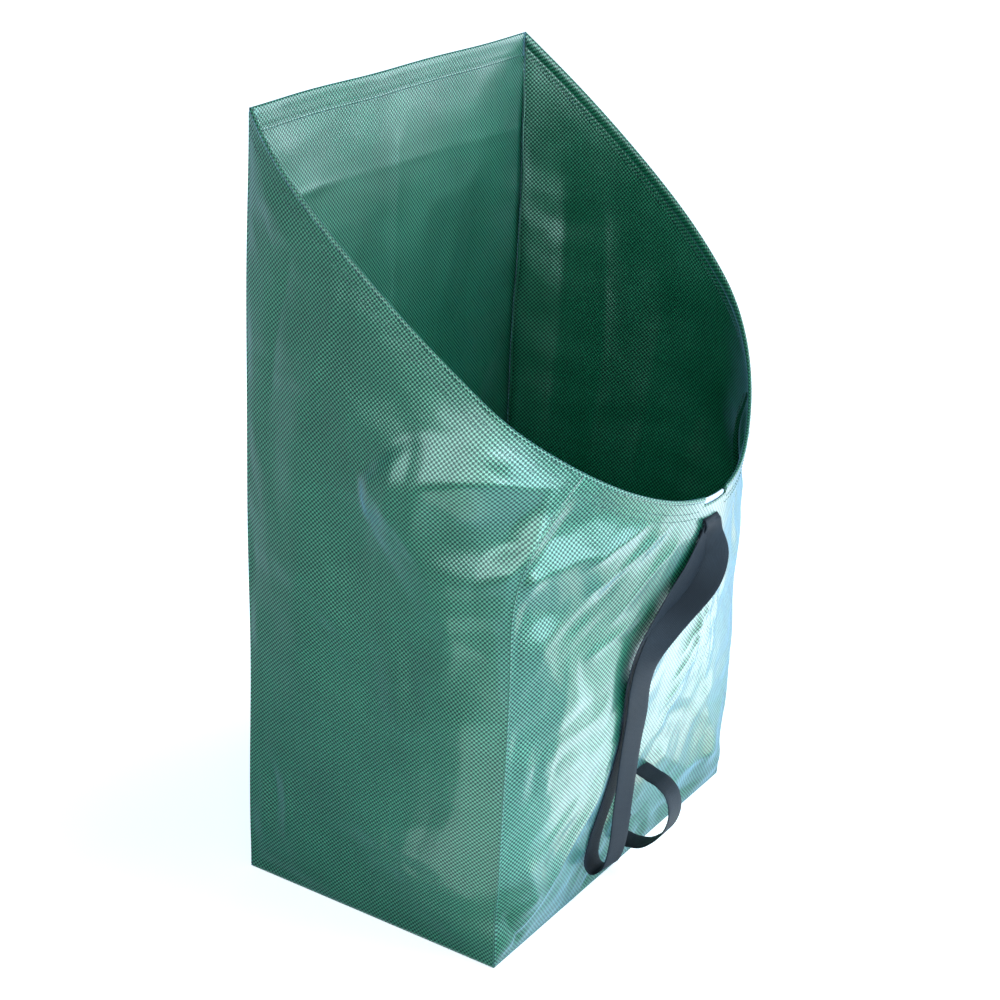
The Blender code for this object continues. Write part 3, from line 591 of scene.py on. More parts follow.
# The strap lies here and presses the fan flat.
STRAP_LIES = ((0.010, 0.470), (0.040, 0.430), (0.075, 0.405), (0.092, 0.370), (0.090, 0.320),
              (0.076, 0.260), (0.074, 0.200), (0.080, 0.140), (0.085, 0.040))
LEFT_FRONT_CREASE = (
    ([(0.258, 0.000), (0.195, 0.058), (0.154, 0.1065), (0.0997, 0.161), (0.070, 0.215),
      (0.048, 0.290), (0.030, 0.380), (0.012, 0.470)], 0.0055, 0.020, 0.030, 1.0, 0.06),)
LEFT_FRONT_FOLDS = (
    ([(0.060, 0.505), (0.110, 0.500), (0.155, 0.486), (0.200, 0.462)],
     0.0034, 0.006, 0.009, 1.0, 0.25),
    ([(0.050, 0.495), (0.100, 0.478), (0.142, 0.455), (0.190, 0.432)],
     0.0032, 0.006, 0.010, 1.0, 0.25),
    ([(0.040, 0.470), (0.080, 0.445), (0.120, 0.410), (0.150, 0.380)],
     0.0026, 0.006, 0.010, 1.0, 0.25),
    ([(0.060, 0.400), (0.118, 0.376), (0.150, 0.366), (0.185, 0.352)],
     0.0034, 0.007, 0.012, 1.0, 0.25),
    ([(0.235, 0.130), (0.216, 0.090), (0.205, 0.050)], 0.0042, 0.020, 0.016, 1.3, 0.30),
    ([(0.256, 0.072), (0.238, 0.040), (0.212, 0.012)], -0.0046, 0.010, 0.010, 1.2, 0.25))
RIGHT_FRONT_FOLDS = (
    ([(0.258, 0.000), (0.215, 0.060), (0.170, 0.125), (0.120, 0.215), (0.075, 0.320),
      (0.030, 0.440)], 0.0035, 0.026, 0.020, 1.1, 0.08),
    ([(0.020, 0.170), (0.045, 0.140), (0.130, 0.076), (0.236, 0.060)],
     0.0070, 0.022, 0.020, 1.3, 0.18),
    ([(0.060, 0.030), (0.140, 0.026), (0.220, 0.020)], -0.0030, 0.014, 0.014, 1.5, 0.30),
    *(([(top, high), (top + 0.034, middle), (top + 0.050, low)],
       height, 0.005, 0.006, 1.0, 0.30)
      for top, high, middle, low, height in (
          (0.020, 0.455, 0.33, 0.215, 0.0024), (0.034, 0.443, 0.32, 0.207, 0.0016),
          (0.048, 0.431, 0.31, 0.199, 0.0024), (0.062, 0.419, 0.30, 0.191, 0.0016),
          (0.076, 0.407, 0.29, 0.183, 0.0024))),
    *(([(0.008 + 0.004 * k, 0.175 + 0.034 * k), (0.034 + 0.006 * k, 0.203 + 0.034 * k),
        (0.066 + 0.004 * k, 0.245 + 0.034 * k)], 0.0026, 0.006, 0.009, 1.0, 0.30)
      for k in range(4)),
    ([(0.240, 0.470), (0.205, 0.495), (0.165, 0.512)], 0.0050, 0.016, 0.014, 1.2, 0.20))
PUCKERS = ((0.482, 0.020, 0.0016), (0.143, 0.018, 0.0014), (0.041, 0.018, 0.0014))
FRONT_COLUMNS = 96
FRONT_ENDS = (0.006, 0.020)
FRONT_MIDDLE_BLEND = 0.020
HEM_OPENING = 0.046
HEM_NOTCH = 0.0095


def left_front_point(a, t):
    """The left half of the front: a from the middle to the seam, t up to the rim.

    A flat part stands on the base and narrows up to the lip. Beside it the cloth turns
    round to the corner seam.
    """
    middle = mix(front_middle, lip, t[..., None])
    flat_share = (1.0 - t) ** CREASE_CURVE
    flat = middle + (front_foot - front_middle) * np.minimum(a, flat_share)[..., None]
    turn = np.clip((a - flat_share) / np.maximum(1.0 - flat_share, 1e-6), 0.0, 1.0)
    rim = rim_point(2.0 - turn * (2.0 - SEAM_ON_RIM))
    round_part = mix(front_foot, rim, t[..., None])
    round_part = round_part + seam_swell(t) * turn[..., None] ** FRONT_SWELL_SPREAD
    slide = ((1.0 - t) - flat_share) * (1.0 - turn) ** 2
    round_part = round_part - (front_foot - front_middle) * slide[..., None]
    return np.where((a > flat_share)[..., None], round_part, flat)


def left_front_folds(u, v):
    """The crease to the left bottom corner and the fan beside it, flat behind the strap."""
    form = folded(0.0, u, v, LEFT_FRONT_CREASE) + faceted(u, v, FAN_CORNERS, FAN_CREASES)
    form = folded(form, u, v, LEFT_FRONT_FOLDS)
    lies = fold(u, v, STRAP_LIES, 1.0, 0.020, 0.020, 2.0, 0.01)
    return np.minimum(form, 0.0) + np.maximum(form, 0.0) * (1.0 - lies)


def right_front_folds(u, v):
    """The crease to the right bottom corner, long fine pulls, and a slack fold below."""
    return folded(0.0, u, v, RIGHT_FRONT_FOLDS)


def drop_loose(mesh):
    """Removes the points that no face uses."""
    used = np.zeros(len(mesh.vertices), dtype=bool)
    for face in mesh.polygons:
        used[list(face.vertices)] = True
    work = bmesh.new()
    work.from_mesh(mesh)
    work.verts.ensure_lookup_table()
    spare = [work.verts[i] for i in np.nonzero(~used)[0]]
    for vert in spare:
        work.verts.remove(vert)
    work.to_mesh(mesh)
    work.free()


half_shares = close_at_ends(FRONT_COLUMNS, FRONT_ENDS)
lip_span = np.abs(rim_point(2.0 - half_shares * (2.0 - SEAM_ON_RIM))[:, 0])
notch_share = float(np.interp(HEM_OPENING / 2, lip_span, half_shares))
half_shares = np.array(sorted(set(half_shares.tolist()) | {notch_share, notch_share + 0.002}))
half_flat, half_u, half_v = panel_grid(left_front_point, half_shares)
half_out = outward(half_flat, (0.0, -1.0, 0.0))
half_hold = sewn_hold(half_flat, half_u[:, -1:] - half_u)
half_forms = []
for folds, seed in ((left_front_folds, 41), (right_front_folds, 43)):
    form = folds(half_u, half_v) + crumple(half_u, half_v, seed, 0.058, 0.0020)
    form += swells(half_u, half_v, seed + 1, 0.15, 0.0010)
    for up, spread, depth in PUCKERS:  # the cloth is drawn in where web ends go through it
        form -= depth * np.exp(-(np.hypot(half_u, half_v - up) / spread) ** 1.2)
    half_forms.append(form)
shared_middle = (half_forms[0][:, :1] + half_forms[1][:, :1]) / 2
blend_in = smooth_step(half_u / FRONT_MIDDLE_BLEND)
left_half, right_half = [
    half_flat + half_out * ((form * blend_in + shared_middle * (1.0 - blend_in))
                            * half_hold)[..., None] for form in half_forms]
front_points = settled(np.concatenate([left_half[:, :0:-1], turned_over(right_half)], axis=1))
front_u = np.concatenate([-half_u[:, :0:-1], half_u], axis=1)
front_v = np.concatenate([half_v[:, :0:-1], half_v], axis=1)
front_out = outward(front_points, (0.0, -1.0, 0.0))
in_notch = np.abs(np.concatenate([-half_shares[:0:-1], half_shares])) < notch_share - 1e-4
in_notch[np.nonzero(in_notch)[0][0] - 1] = True
lowered = np.zeros(front_u.shape, dtype=bool)
lowered[:HEM_DEPTHS.index(HEM_NOTCH) + 1] = in_notch
front_mesh = grid_mesh("front_cloth", front_points[1:], np.stack([front_u, front_v], axis=2)[1:],
                       front_out[1:], skip=lowered[1:])
drop_loose(front_mesh)
front_panel = place_cloth(front_mesh, "front_panel")
give_thickness(front_panel)


# The base panel. A flat rectangle of the same cloth, sewn in all round. It lies on the
# ground, with a little slack.
BASE_INSET = 0.0006
BASE_LIFT = 0.2  # of the cloth's thickness, so that the underside just clears the ground
BASE_COLUMNS = 121
BASE_ROWS = 81
base_x = np.linspace(-BAG_WIDTH / 2 + BASE_INSET, BAG_WIDTH / 2 - BASE_INSET, BASE_COLUMNS)
base_y = np.linspace(-BAG_DEPTH / 2 + BASE_INSET, BAG_DEPTH / 2 - BASE_INSET, BASE_ROWS)
base_u, base_v = np.meshgrid(base_x, base_y)
base_slack = np.abs(crumple(base_u, base_v, 51, 0.080, 0.0022))
base_slack *= edge_hold(base_u - base_x[0], base_x[-1] - base_u,
                        base_v - base_y[0], base_y[-1] - base_v)
base_points = np.stack([base_u, base_v, CLOTH * BASE_LIFT + base_slack], axis=2)
base_mesh = grid_mesh("base_cloth", base_points, np.stack([base_u, base_v], axis=2),
                      outward(base_points, (0.0, 0.0, -1.0)))
base_panel = place_cloth(base_mesh, "base_panel")
give_thickness(base_panel)


# The hems. The panels' top edges are turned over to the inside and sewn down twice, so
# that a tunnel runs round the mouth. The tunnel is fat over the strip that it holds, and
# the hem along the back is flat and empty.
HEM_PROFILE = ((0.0045, -0.0003), (0.0018, -0.0002), (0.0004, 0.0006), (0.0000, 0.0019),
               (0.0006, 0.0031), (0.0024, 0.0040), (0.0065, 0.0043), (0.0115, 0.0039),
               (0.0150, 0.0028), (0.0165, 0.0018), (0.0180, 0.0021), (0.0215, 0.0022),
               (0.0245, 0.0015), (0.0260, 0.0018), (0.0270, 0.0017), (0.0274, 0.0010),
               (0.0262, 0.0006), (0.0165, 0.0006), (0.0060, 0.0006), (0.0045, 0.0002))
BACK_HEM_PROFILE = ((0.0045, -0.0003), (0.0016, -0.0002), (0.0004, 0.0003), (0.0000, 0.0010),
                    (0.0006, 0.0018), (0.0024, 0.0022), (0.0090, 0.0021), (0.0165, 0.0017),
                    (0.0215, 0.0019), (0.0245, 0.0013), (0.0260, 0.0017), (0.0270, 0.0016),
                    (0.0274, 0.0010), (0.0262, 0.0006), (0.0060, 0.0006), (0.0045, 0.0002))


def distances_along(path):
    """How far along a path each of its points is."""
    return np.concatenate([[0.0], np.cumsum(np.linalg.norm(np.diff(path, axis=0), axis=1))])


def at_marks(marks, steps, values):
    """Rows of values in space, read off at marks along a path."""
    return np.stack([np.interp(marks, steps, values[:, k]) for k in range(3)], axis=-1)


def down_column(points, normals, depth):
    """The point and outward normal at a depth below the rim, down one column of a panel."""
    steps = distances_along(points)
    lean = at_marks(depth, steps, normals)
    return at_marks(depth, steps, points), lean / np.linalg.norm(lean)


def hem_section(points, normals, profile):
    """One section of a hem, from depths below the rim and distances in from the outside."""
    section = []
    for depth, inwards in profile:
        spot, lean = down_column(points, normals, depth)
        section.append(spot - lean * inwards)
    return section


def loft_mesh(name, sections, closed=False):
    """A skin through sections of equal count, laid out along its length and round it. It
    is capped, unless it closes on itself."""
    rings = np.array(sections)
    count, around = rings.shape[:2]
    index = np.arange(count * around).reshape(count, around)
    after = np.roll(index, -1, axis=1)
    faces = []
    for i in range(count if closed else count - 1):
        k = (i + 1) % count
        faces += [(index[i, j], after[i, j], after[k, j], index[k, j]) for j in range(around)]
    if not closed:
        faces += [tuple(index[0][::-1]), tuple(index[-1])]
    mesh = bpy.data.meshes.new(name)
    mesh.from_pydata(rings.reshape(-1, 3).tolist(), [], [tuple(map(int, f)) for f in faces])
    mesh.update()
    work = bmesh.new()
    work.from_mesh(mesh)
    bmesh.ops.recalc_face_normals(work, faces=work.faces[:])
    work.to_mesh(mesh)
    work.free()
    along, round_it = distances_along(rings.mean(axis=1)), distances_along(rings[0])
    cut = np.stack(np.meshgrid(along, round_it, indexing="ij"), axis=2)
    lay_out(mesh, cut.reshape(-1, 2))
    return mesh


front_leans = {}
hem_stations = {}
for hand, from_middle in (("left", slice(len(half_shares) - 1, None, -1)),
                          ("right", slice(len(half_shares) - 1, None))):
    columns, leans = front_points[:, from_middle], front_out[:, from_middle]
    grid, lean = side_grids[hand]
    stations = [(grid[:, j], lean[:, j]) for j in range(1, grid.shape[1] - 1)]
    stations.append((grid[:, -1], (lean[:, -1] + leans[:, -1]) / 2))
    stations += [(columns[:, j], leans[:, j]) for j in range(columns.shape[1] - 2, -1, -1)
                 if half_shares[j] >= notch_share - 1e-6]
    front_leans[hand], hem_stations[hand] = leans, stations
    sections = [hem_section(*station, HEM_PROFILE) for station in stations]
    place_cloth(loft_mesh("mouth_hem_" + hand, sections), "hem_" + hand)
back_sections = [hem_section(back_points[:, j], back_normals[:, j], BACK_HEM_PROFILE)
                 for j in range(1, BACK_COLUMNS - 1, 2)]
place_cloth(loft_mesh("back_hem_cloth", back_sections), "hem_back")


# The hem strips. Two springy strips of white polypropylene, cut with rounded ends, slide
# in the hem tunnel and push the mouth open. The left one's end crosses the hem opening.
STRIP_TOP = 0.0016
STRIP_WIDTH = 0.0120
STRIP_INNER = 0.0026
STRIP_OUTER = 0.0012
STRIP_OVERRUN = 0.0190
STRIP_SPACING = 0.0030
STRIP_EASE = 0.0003
STRIP_GAPS = (0.004, 0.003)  # sections keep this far from the rounded end, and in the opening
STRIP_OPEN_STATIONS = 8
STRIP_END_TURNS = (0, 15, 30, 45, 58, 70, 80, 87)
STRIP_STREAKS = (12.0, 900.0)  # per metre: rolling streaks 83 mm long and 1.1 mm wide
STRIP_WHITE = "f1f3f4"


def rolled_polypropylene(name):
    """Rolled white polypropylene strip: a clean soft gloss, faintly streaked along it."""
    made, tree = new_material(name)
    place = add_node(tree, "UVMap", uv_map="cut")
    drawn = add_node(tree, "Mapping", {"Vector": place, "Scale": (*STRIP_STREAKS, 1.0)})
    streak = add_node(tree, "TexNoise", {"Vector": drawn, "Scale": 1.0, "Detail": 2.0})
    gloss = add_node(tree, "MapRange", {"Value": streak, "To Min": 0.22, "To Max": 0.38})
    tone = add_node(tree, "MapRange", {"Value": streak, "To Min": 0.93, "To Max": 1.02})
    colour = add_node(tree, "VectorMath", {0: linear(STRIP_WHITE)[:3], "Scale": tone},
                      operation="SCALE")
    relief = add_node(tree, "Bump", {"Height": streak, "Strength": 0.2, "Distance": 0.0001})
    skin = add_node(tree, "BsdfPrincipled", {
        "Base Color": colour, "Roughness": gloss, "IOR": 1.49, "Normal": relief,
        "Subsurface Weight": 0.15, "Subsurface Scale": 0.002})
    add_node(tree, "OutputMaterial", {"Surface": skin})
    return made


def strip_section(spots, leans, width):
    """A section of the strip in the hem tunnel, with eased edges."""
    middle = STRIP_TOP + STRIP_WIDTH / 2
    ease = min(STRIP_EASE, width / 8)
    high, low = middle - width / 2, middle + width / 2
    outline = [(high, STRIP_OUTER + ease), (high + ease, STRIP_OUTER),
               (low - ease, STRIP_OUTER), (low, STRIP_OUTER + ease),
               (low, STRIP_INNER - ease), (low - ease, STRIP_INNER),
               (high + ease, STRIP_INNER), (high, STRIP_INNER - ease)]
    return hem_section(spots, leans, outline)


def lip_station(x):
    """The column of the front panel at a place across the lip."""
    top_x = front_points[0, :, 0]
    low = int(np.clip(np.searchsorted(top_x, x) - 1, 0, len(top_x) - 2))
    share = (x - top_x[low]) / (top_x[low + 1] - top_x[low])
    return (mix(front_points[:, low], front_points[:, low + 1], share),
            mix(front_out[:, low], front_out[:, low + 1], share))


strip_finish = rolled_polypropylene("white_polypropylene_strip")
for hand, way, end_x in (("left", 1.0, STRIP_OVERRUN),
                         ("right", -1.0, HEM_OPENING / 2 + STRIP_SPACING)):
    limit = end_x - way * STRIP_WIDTH / 2
    sections = [strip_section(*station, STRIP_WIDTH) for station in hem_stations[hand][2::2]
                if (limit - station[0][0, 0]) * way > STRIP_GAPS[0]]
    if hand == "left":
        sections += [strip_section(*lip_station(x), STRIP_WIDTH) for x in np.linspace(
            STRIP_GAPS[1] - HEM_OPENING / 2, limit - STRIP_GAPS[1], STRIP_OPEN_STATIONS)]
    for angle in map(math.radians, STRIP_END_TURNS):
        end_station = lip_station(limit + way * STRIP_WIDTH / 2 * math.sin(angle))
        sections.append(strip_section(*end_station, STRIP_WIDTH * math.cos(angle)))
    place_piece(loft_mesh("strip_" + hand, sections), strip_finish, "bag",
                ["mouth_strip_" + hand])


# The corner and base seams. The panels' edges are turned in together and sewn through,
# which leaves a thin rolled welt outside and a stiff allowance standing in each corner.
WELT_RADIUS = 0.0011
ALLOWANCE = 0.011
ALLOWANCE_THICKNESS = 0.0011
ALLOWANCE_START = 0.0010
ALLOWANCE_TRIM = (0.12, 0.3)  # over this length it narrows to this share
ALLOWANCE_SWAY = (0.09, 0.0016)
ROUND = np.linspace(0.0, 2.0 * math.pi, 9)[:-1]
CORNER_STATIONS = 90
CORNER_ENDS = (0.003, 0.006)
BASE_EDGE_STATIONS = 59
BASE_FLAP = ((0.0015, 0.0016), (0.0015, 0.0030), (0.0100, 0.0034), (0.0104, 0.0022))


def across_and_in(path, inwards):
    """Unit directions along a seam, square to it, for its sections."""
    ahead = np.gradient(path, axis=0)
    ahead /= np.linalg.norm(ahead, axis=1, keepdims=True)
    inside = inwards - ahead * np.sum(inwards * ahead, axis=1, keepdims=True)
    inside /= np.linalg.norm(inside, axis=1, keepdims=True)
    return np.cross(ahead, inside), inside


def welt_sections(path, inwards):
    """The thin roll outside a seam, slightly flat and sunk in between the panels."""
    across, inside = across_and_in(path, inwards)
    radius = WELT_RADIUS
    return [[p + a * math.cos(w) * radius + n * (math.sin(w) * radius * 0.8 + radius * 0.45)
             for w in ROUND] for p, a, n in zip(path, across, inside)]


def allowance_sections(path, inwards, seed):
    """A standing seam allowance with a wavy free edge, trimmed narrow towards the hem."""
    across, inside = across_and_in(path, inwards)
    steps = distances_along(path)
    sway = swells(steps, steps * 0.0, seed, *ALLOWANCE_SWAY)
    half = ALLOWANCE_THICKNESS / 2
    trimmed = np.clip((steps[-1] - steps) / ALLOWANCE_TRIM[0], ALLOWANCE_TRIM[1], 1.0)
    sections = []
    for p, a, n, drift, share in zip(path, across, inside, sway, trimmed):
        near = p + n * ALLOWANCE_START
        middle = p + n * ALLOWANCE * 0.55 * share + a * drift * 0.4
        far = p + n * ALLOWANCE * share + a * drift
        sections.append([near - a * half, middle - a * half, far - a * half * 0.8,
                         far + a * half * 0.8, middle + a * half, near + a * half])
    return sections


def joined(name, meshes):
    """One mesh made of several, with their layout kept."""
    work = bmesh.new()
    for mesh in meshes:
        work.from_mesh(mesh)
    whole = bpy.data.meshes.new(name)
    work.to_mesh(whole)
    work.free()
    whole.shade_smooth()
    return whole


def seam_piece(name, path, inwards, seed, node):
    """A corner seam: its welt and its standing allowance."""
    place_cloth(joined(name, [loft_mesh("welt", welt_sections(path, inwards)),
                              loft_mesh("allowance", allowance_sections(path, inwards, seed))]),
                node)


seam_paths = {}
for hand, way in (("left", 1.0), ("right", -1.0)):
    back_path = settled(np.array([
        (-BAG_WIDTH / 2 * way, BAG_DEPTH / 2, z)
        for z in np.linspace(CORNER_ENDS[0], BAG_HEIGHT - CORNER_ENDS[1], CORNER_STATIONS)]))
    back_in = np.tile([way, -1.0, 0.0], (CORNER_STATIONS, 1)) / math.sqrt(2.0)
    seam_piece("back_corner_seam_" + hand, back_path, back_in, 61, "seam_back_" + hand)
    grid, lean = side_grids[hand]
    rows = range(grid.shape[0] - 2, len(HEM_DEPTHS) + 2, -2)
    front_path = np.array([grid[i, -1] for i in rows])
    front_in = -np.array([lean[i, -1] + front_leans[hand][i, -1] for i in rows])
    seam_piece("front_corner_seam_" + hand, front_path, front_in, 63, "seam_front_" + hand)
    seam_paths[hand] = ((back_path, back_in), (front_path, front_in))

base_corners = [(-1, -1), (1, -1), (1, 1), (-1, 1)]
base_round = [(mix(x0, x1, share), mix(y0, y1, share))
              for (x0, y0), (x1, y1) in zip(base_corners, base_corners[1:] + base_corners[:1])
              for share in np.linspace(0.0, 1.0, BASE_EDGE_STATIONS + 1)[:-1]]
base_edge = np.array([(x * BAG_WIDTH / 2, y * BAG_DEPTH / 2, 0.0) for x, y in base_round])
toward_middle = -base_edge / np.linalg.norm(base_edge, axis=1, keepdims=True)
base_welt = [[p + d * (math.cos(w) * WELT_RADIUS + WELT_RADIUS * 0.5)
              + np.array([0.0, 0.0, math.sin(w) * WELT_RADIUS]) for w in ROUND]
             for p, d in zip(base_edge + (0.0, 0.0, WELT_RADIUS), toward_middle)]
base_flap = [[(x * (BAG_WIDTH / 2 - inset), y * (BAG_DEPTH / 2 - inset), z)
              for inset, z in BASE_FLAP] for x, y in base_round]
place_cloth(joined("base_seam_cloth", [loft_mesh("welt", base_welt, closed=True),
                                       loft_mesh("flap", base_flap, closed=True)]), "seam_base")


# The stitching. Green bonded polyester thread in short lockstitches, along both edges of
# the hem tunnel and through the corner allowances.
STITCH_PITCH = 0.0052
STITCH_LENGTH = 0.0036
STITCH_RADIUS = 0.00042
STITCH_FATNESS = (0.45, 0.9, 1.0, 0.9, 0.45)
STITCH_RISE = (-0.5, 0.25, 0.5, 0.25, -0.5)
STITCH_SIDES = 6
# Rows along the hems: which of the two depths, and how far in from the outside.
HEM_ROWS = ((0, 0.0018), (1, 0.0015), (0, -0.0001), (1, -0.0001))
BACK_HEM_ROWS = ((1, 0.0013), (1, -0.0001))
SEAM_ROW_IN = 0.006
SEAM_ROW_OUT = 0.0006
THREAD_TWIST = 900.0  # gives bands 0.7 mm apart, the pitch of the twist
THREAD_GREEN = "1d4a3c"
THREAD_PALE = "2f6655"


def bonded_thread(name):
    """Twisted polyester thread with a waxed bond: matt, with its twist just showing."""
    made, tree = new_material(name)
    spot = add_node(tree, "TexCoord").outputs["Object"]
    twist = add_node(tree, "TexWave", {"Vector": spot, "Scale": THREAD_TWIST},
                     wave_type="BANDS", bands_direction="DIAGONAL").outputs["Fac"]
    colour = add_node(tree, "Mix", {"Factor": twist, 6: linear(THREAD_GREEN),
                                    7: linear(THREAD_PALE)}, data_type="RGBA").outputs[2]
    skin = add_node(tree, "BsdfPrincipled", {
        "Base Color": colour, "Roughness": 0.6, "IOR": 1.54, "Sheen Weight": 0.2})
    add_node(tree, "OutputMaterial", {"Surface": skin})
    return made


def stitch_row(path, outside):
    """Short threads laid end to end along a path, half sunk in the cloth."""
    steps = distances_along(path)
    sides = STITCH_SIDES
    points, faces = [], []
    for k in range(int(steps[-1] / STITCH_PITCH)):
        start = k * STITCH_PITCH
        marks = np.linspace(start, start + STITCH_LENGTH, len(STITCH_RISE))
        spots, lifts = at_marks(marks, steps, path), at_marks(marks, steps, outside)
        lifts /= np.linalg.norm(lifts, axis=1, keepdims=True)
        ahead = spots[-1] - spots[0]
        ahead /= np.linalg.norm(ahead)
        base = len(points)
        for spot, lift, fatness, rise in zip(spots, lifts, STITCH_FATNESS, STITCH_RISE):
            fat, up, side = STITCH_RADIUS * fatness, STITCH_RADIUS * rise, np.cross(ahead, lift)
            for w in range(sides):
                angle = w * 2.0 * math.pi / sides
                points.append(spot + lift * (up + fat * math.sin(angle))
                              + side * fat * math.cos(angle))
        for ring in range(base, len(points) - sides, sides):
            for w in range(sides):
                a, b = ring + w, ring + (w + 1) % sides
                faces.append((a, b, b + sides, a + sides))
        faces.append(tuple(range(base + sides - 1, base - 1, -1)))
        faces.append(tuple(range(len(points) - sides, len(points))))
    mesh = bpy.data.meshes.new("stitches")
    mesh.from_pydata([tuple(p) for p in points], [], faces)
    mesh.shade_smooth()
    return mesh


def hem_row(stations, row, inwards):
    """A row of stitches along a hem, on its inner face, or on its outer one."""
    spots, sides = [], []
    for points, leans in stations:
        spot, lean = down_column(points, leans, HEM_STITCHES[row])
        spots.append(spot - lean * inwards)
        sides.append(-lean if inwards > 0.0 else lean)
    return stitch_row(np.array(spots), np.array(sides))


def place_stitching(name, rows):
    """Puts rows of stitches on the bag as one piece, which stands for no solid."""
    place_piece(joined(name, rows), thread_finish, "bag", [])


thread_finish = bonded_thread("bonded_polyester_thread")
for hand in ("left", "right"):
    stitches = [hem_row(hem_stations[hand][1:], row, inwards) for row, inwards in HEM_ROWS]
    for path, inwards in seam_paths[hand]:
        across, inside = across_and_in(path, inwards)
        stitches += [stitch_row(path + inside * SEAM_ROW_IN + across * way * SEAM_ROW_OUT,
                                across * way) for way in (1.0, -1.0)]
    place_stitching("stitching_" + hand, stitches)
back_stations = [(back_points[:, j], back_normals[:, j])
                 for j in range(3, BACK_COLUMNS - 3, 2)]
place_stitching("stitching_back",
                [hem_row(back_stations, row, inwards) for row, inwards in BACK_HEM_ROWS])


# The carry strap. A long loop of dark grey polypropylene webbing. Its two ends lie on each
# other, go through a slit under the lip and are box-stitched inside. It hangs down the front
# with a twist, so that the loop stands open at the bottom.
WEB_WIDTH = 0.030
WEB_THICKNESS = 0.0016
WEB_DARK = "090c10"
WEB_GREY = "1b2028"
WEB_FUZZ_TINT = "aab4c4"
WEB_RIB = 0.0017
WEB_FUZZ = 260.0  # per metre: stray fibres about 4 mm apart
WEB_WEAR = 24.0   # per metre: worn patches of about 40 mm
STRAP_DROP = 0.0315
STRAP_CLEARANCE = 0.0009
LEG_GAP = 0.0006
STRAP_HANG = 0.430
STRAP_DRIFT = 0.100
STRAP_STAND = 0.028
STRAP_BACK_GAP = 0.0020
OUTER_LEG = (  # sway to the right, stand off the front, drop, and turn in degrees
    (0.05, 0.13, 0.049, 20), (0.07, 0.50, 0.107, 46), (-0.14, 0.68, 0.170, 49),
    (-0.69, 0.50, 0.242, 42), (-0.92, 0.39, 0.319, 28), (-0.92, 0.33, 0.407, 18),
    (-0.82, 0.36, 0.507, 18), (-0.76, 0.37, 0.600, 16), (-0.72, 0.47, 0.693, 15),
    (-0.72, 0.68, 0.798, 14), (-0.76, 0.97, 0.902, 12), (-0.80, 0.97, 0.970, 9),
    (-0.83, 0.51, 0.995, 5))
INNER_LEG = (
    (-0.85, 0.10, 0.970, 2), (-0.84, 0.00, 0.891, 0), (-0.78, 0.00, 0.798, 0),
    (-0.73, 0.00, 0.693, 0), (-0.74, 0.00, 0.577, 0), (-0.85, 0.00, 0.472, 0),
    (-0.94, 0.00, 0.384, 0), (-0.91, 0.05, 0.295, 4), (-0.62, 0.12, 0.207, 8),
    (-0.29, 0.10, 0.135, 6), (-0.08, 0.03, 0.067, 2))
SLIT_DEPTH = 0.0030
# Each leg's root: out of the slit, then past the axis in leg spacings, and down from it.
OUTER_ROOT = (0.0012, 0.8, 0.004)
INNER_ROOT = (0.0006, -0.2, 0.006)
WEB_OUTLINE = ((-1.0, 0.0), (-0.985, 0.7), (-0.94, 1.0), (-0.6, 1.0), (-0.2, 1.0), (0.2, 1.0),
               (0.6, 1.0), (0.94, 1.0), (0.985, 0.7), (1.0, 0.0), (0.985, -0.7), (0.94, -1.0),
               (0.6, -1.0), (0.2, -1.0), (-0.2, -1.0), (-0.6, -1.0), (-0.94, -1.0),
               (-0.985, -0.7))
ROUTE_STEPS = 8
TAIL_LENGTH = 0.024
TAIL_GAP = 0.0012
TAIL_STEPS = 5
BOX_MARGIN = 0.003
BOX_START = 0.006
BOX_MARKS = 6
HANDLE_LOW = 0.041
HANDLE_HIGH = 0.143

front_up = (lip - front_middle) / np.linalg.norm(lip - front_middle)
front_lean = np.array([0.0, -front_up[2], front_up[1]])
slit_height = float(np.linalg.norm(lip - front_middle)) - STRAP_DROP
leg_spacing = WEB_THICKNESS + LEG_GAP
strap_axis_out = (leg_spacing + WEB_THICKNESS) / 2 + STRAP_CLEARANCE


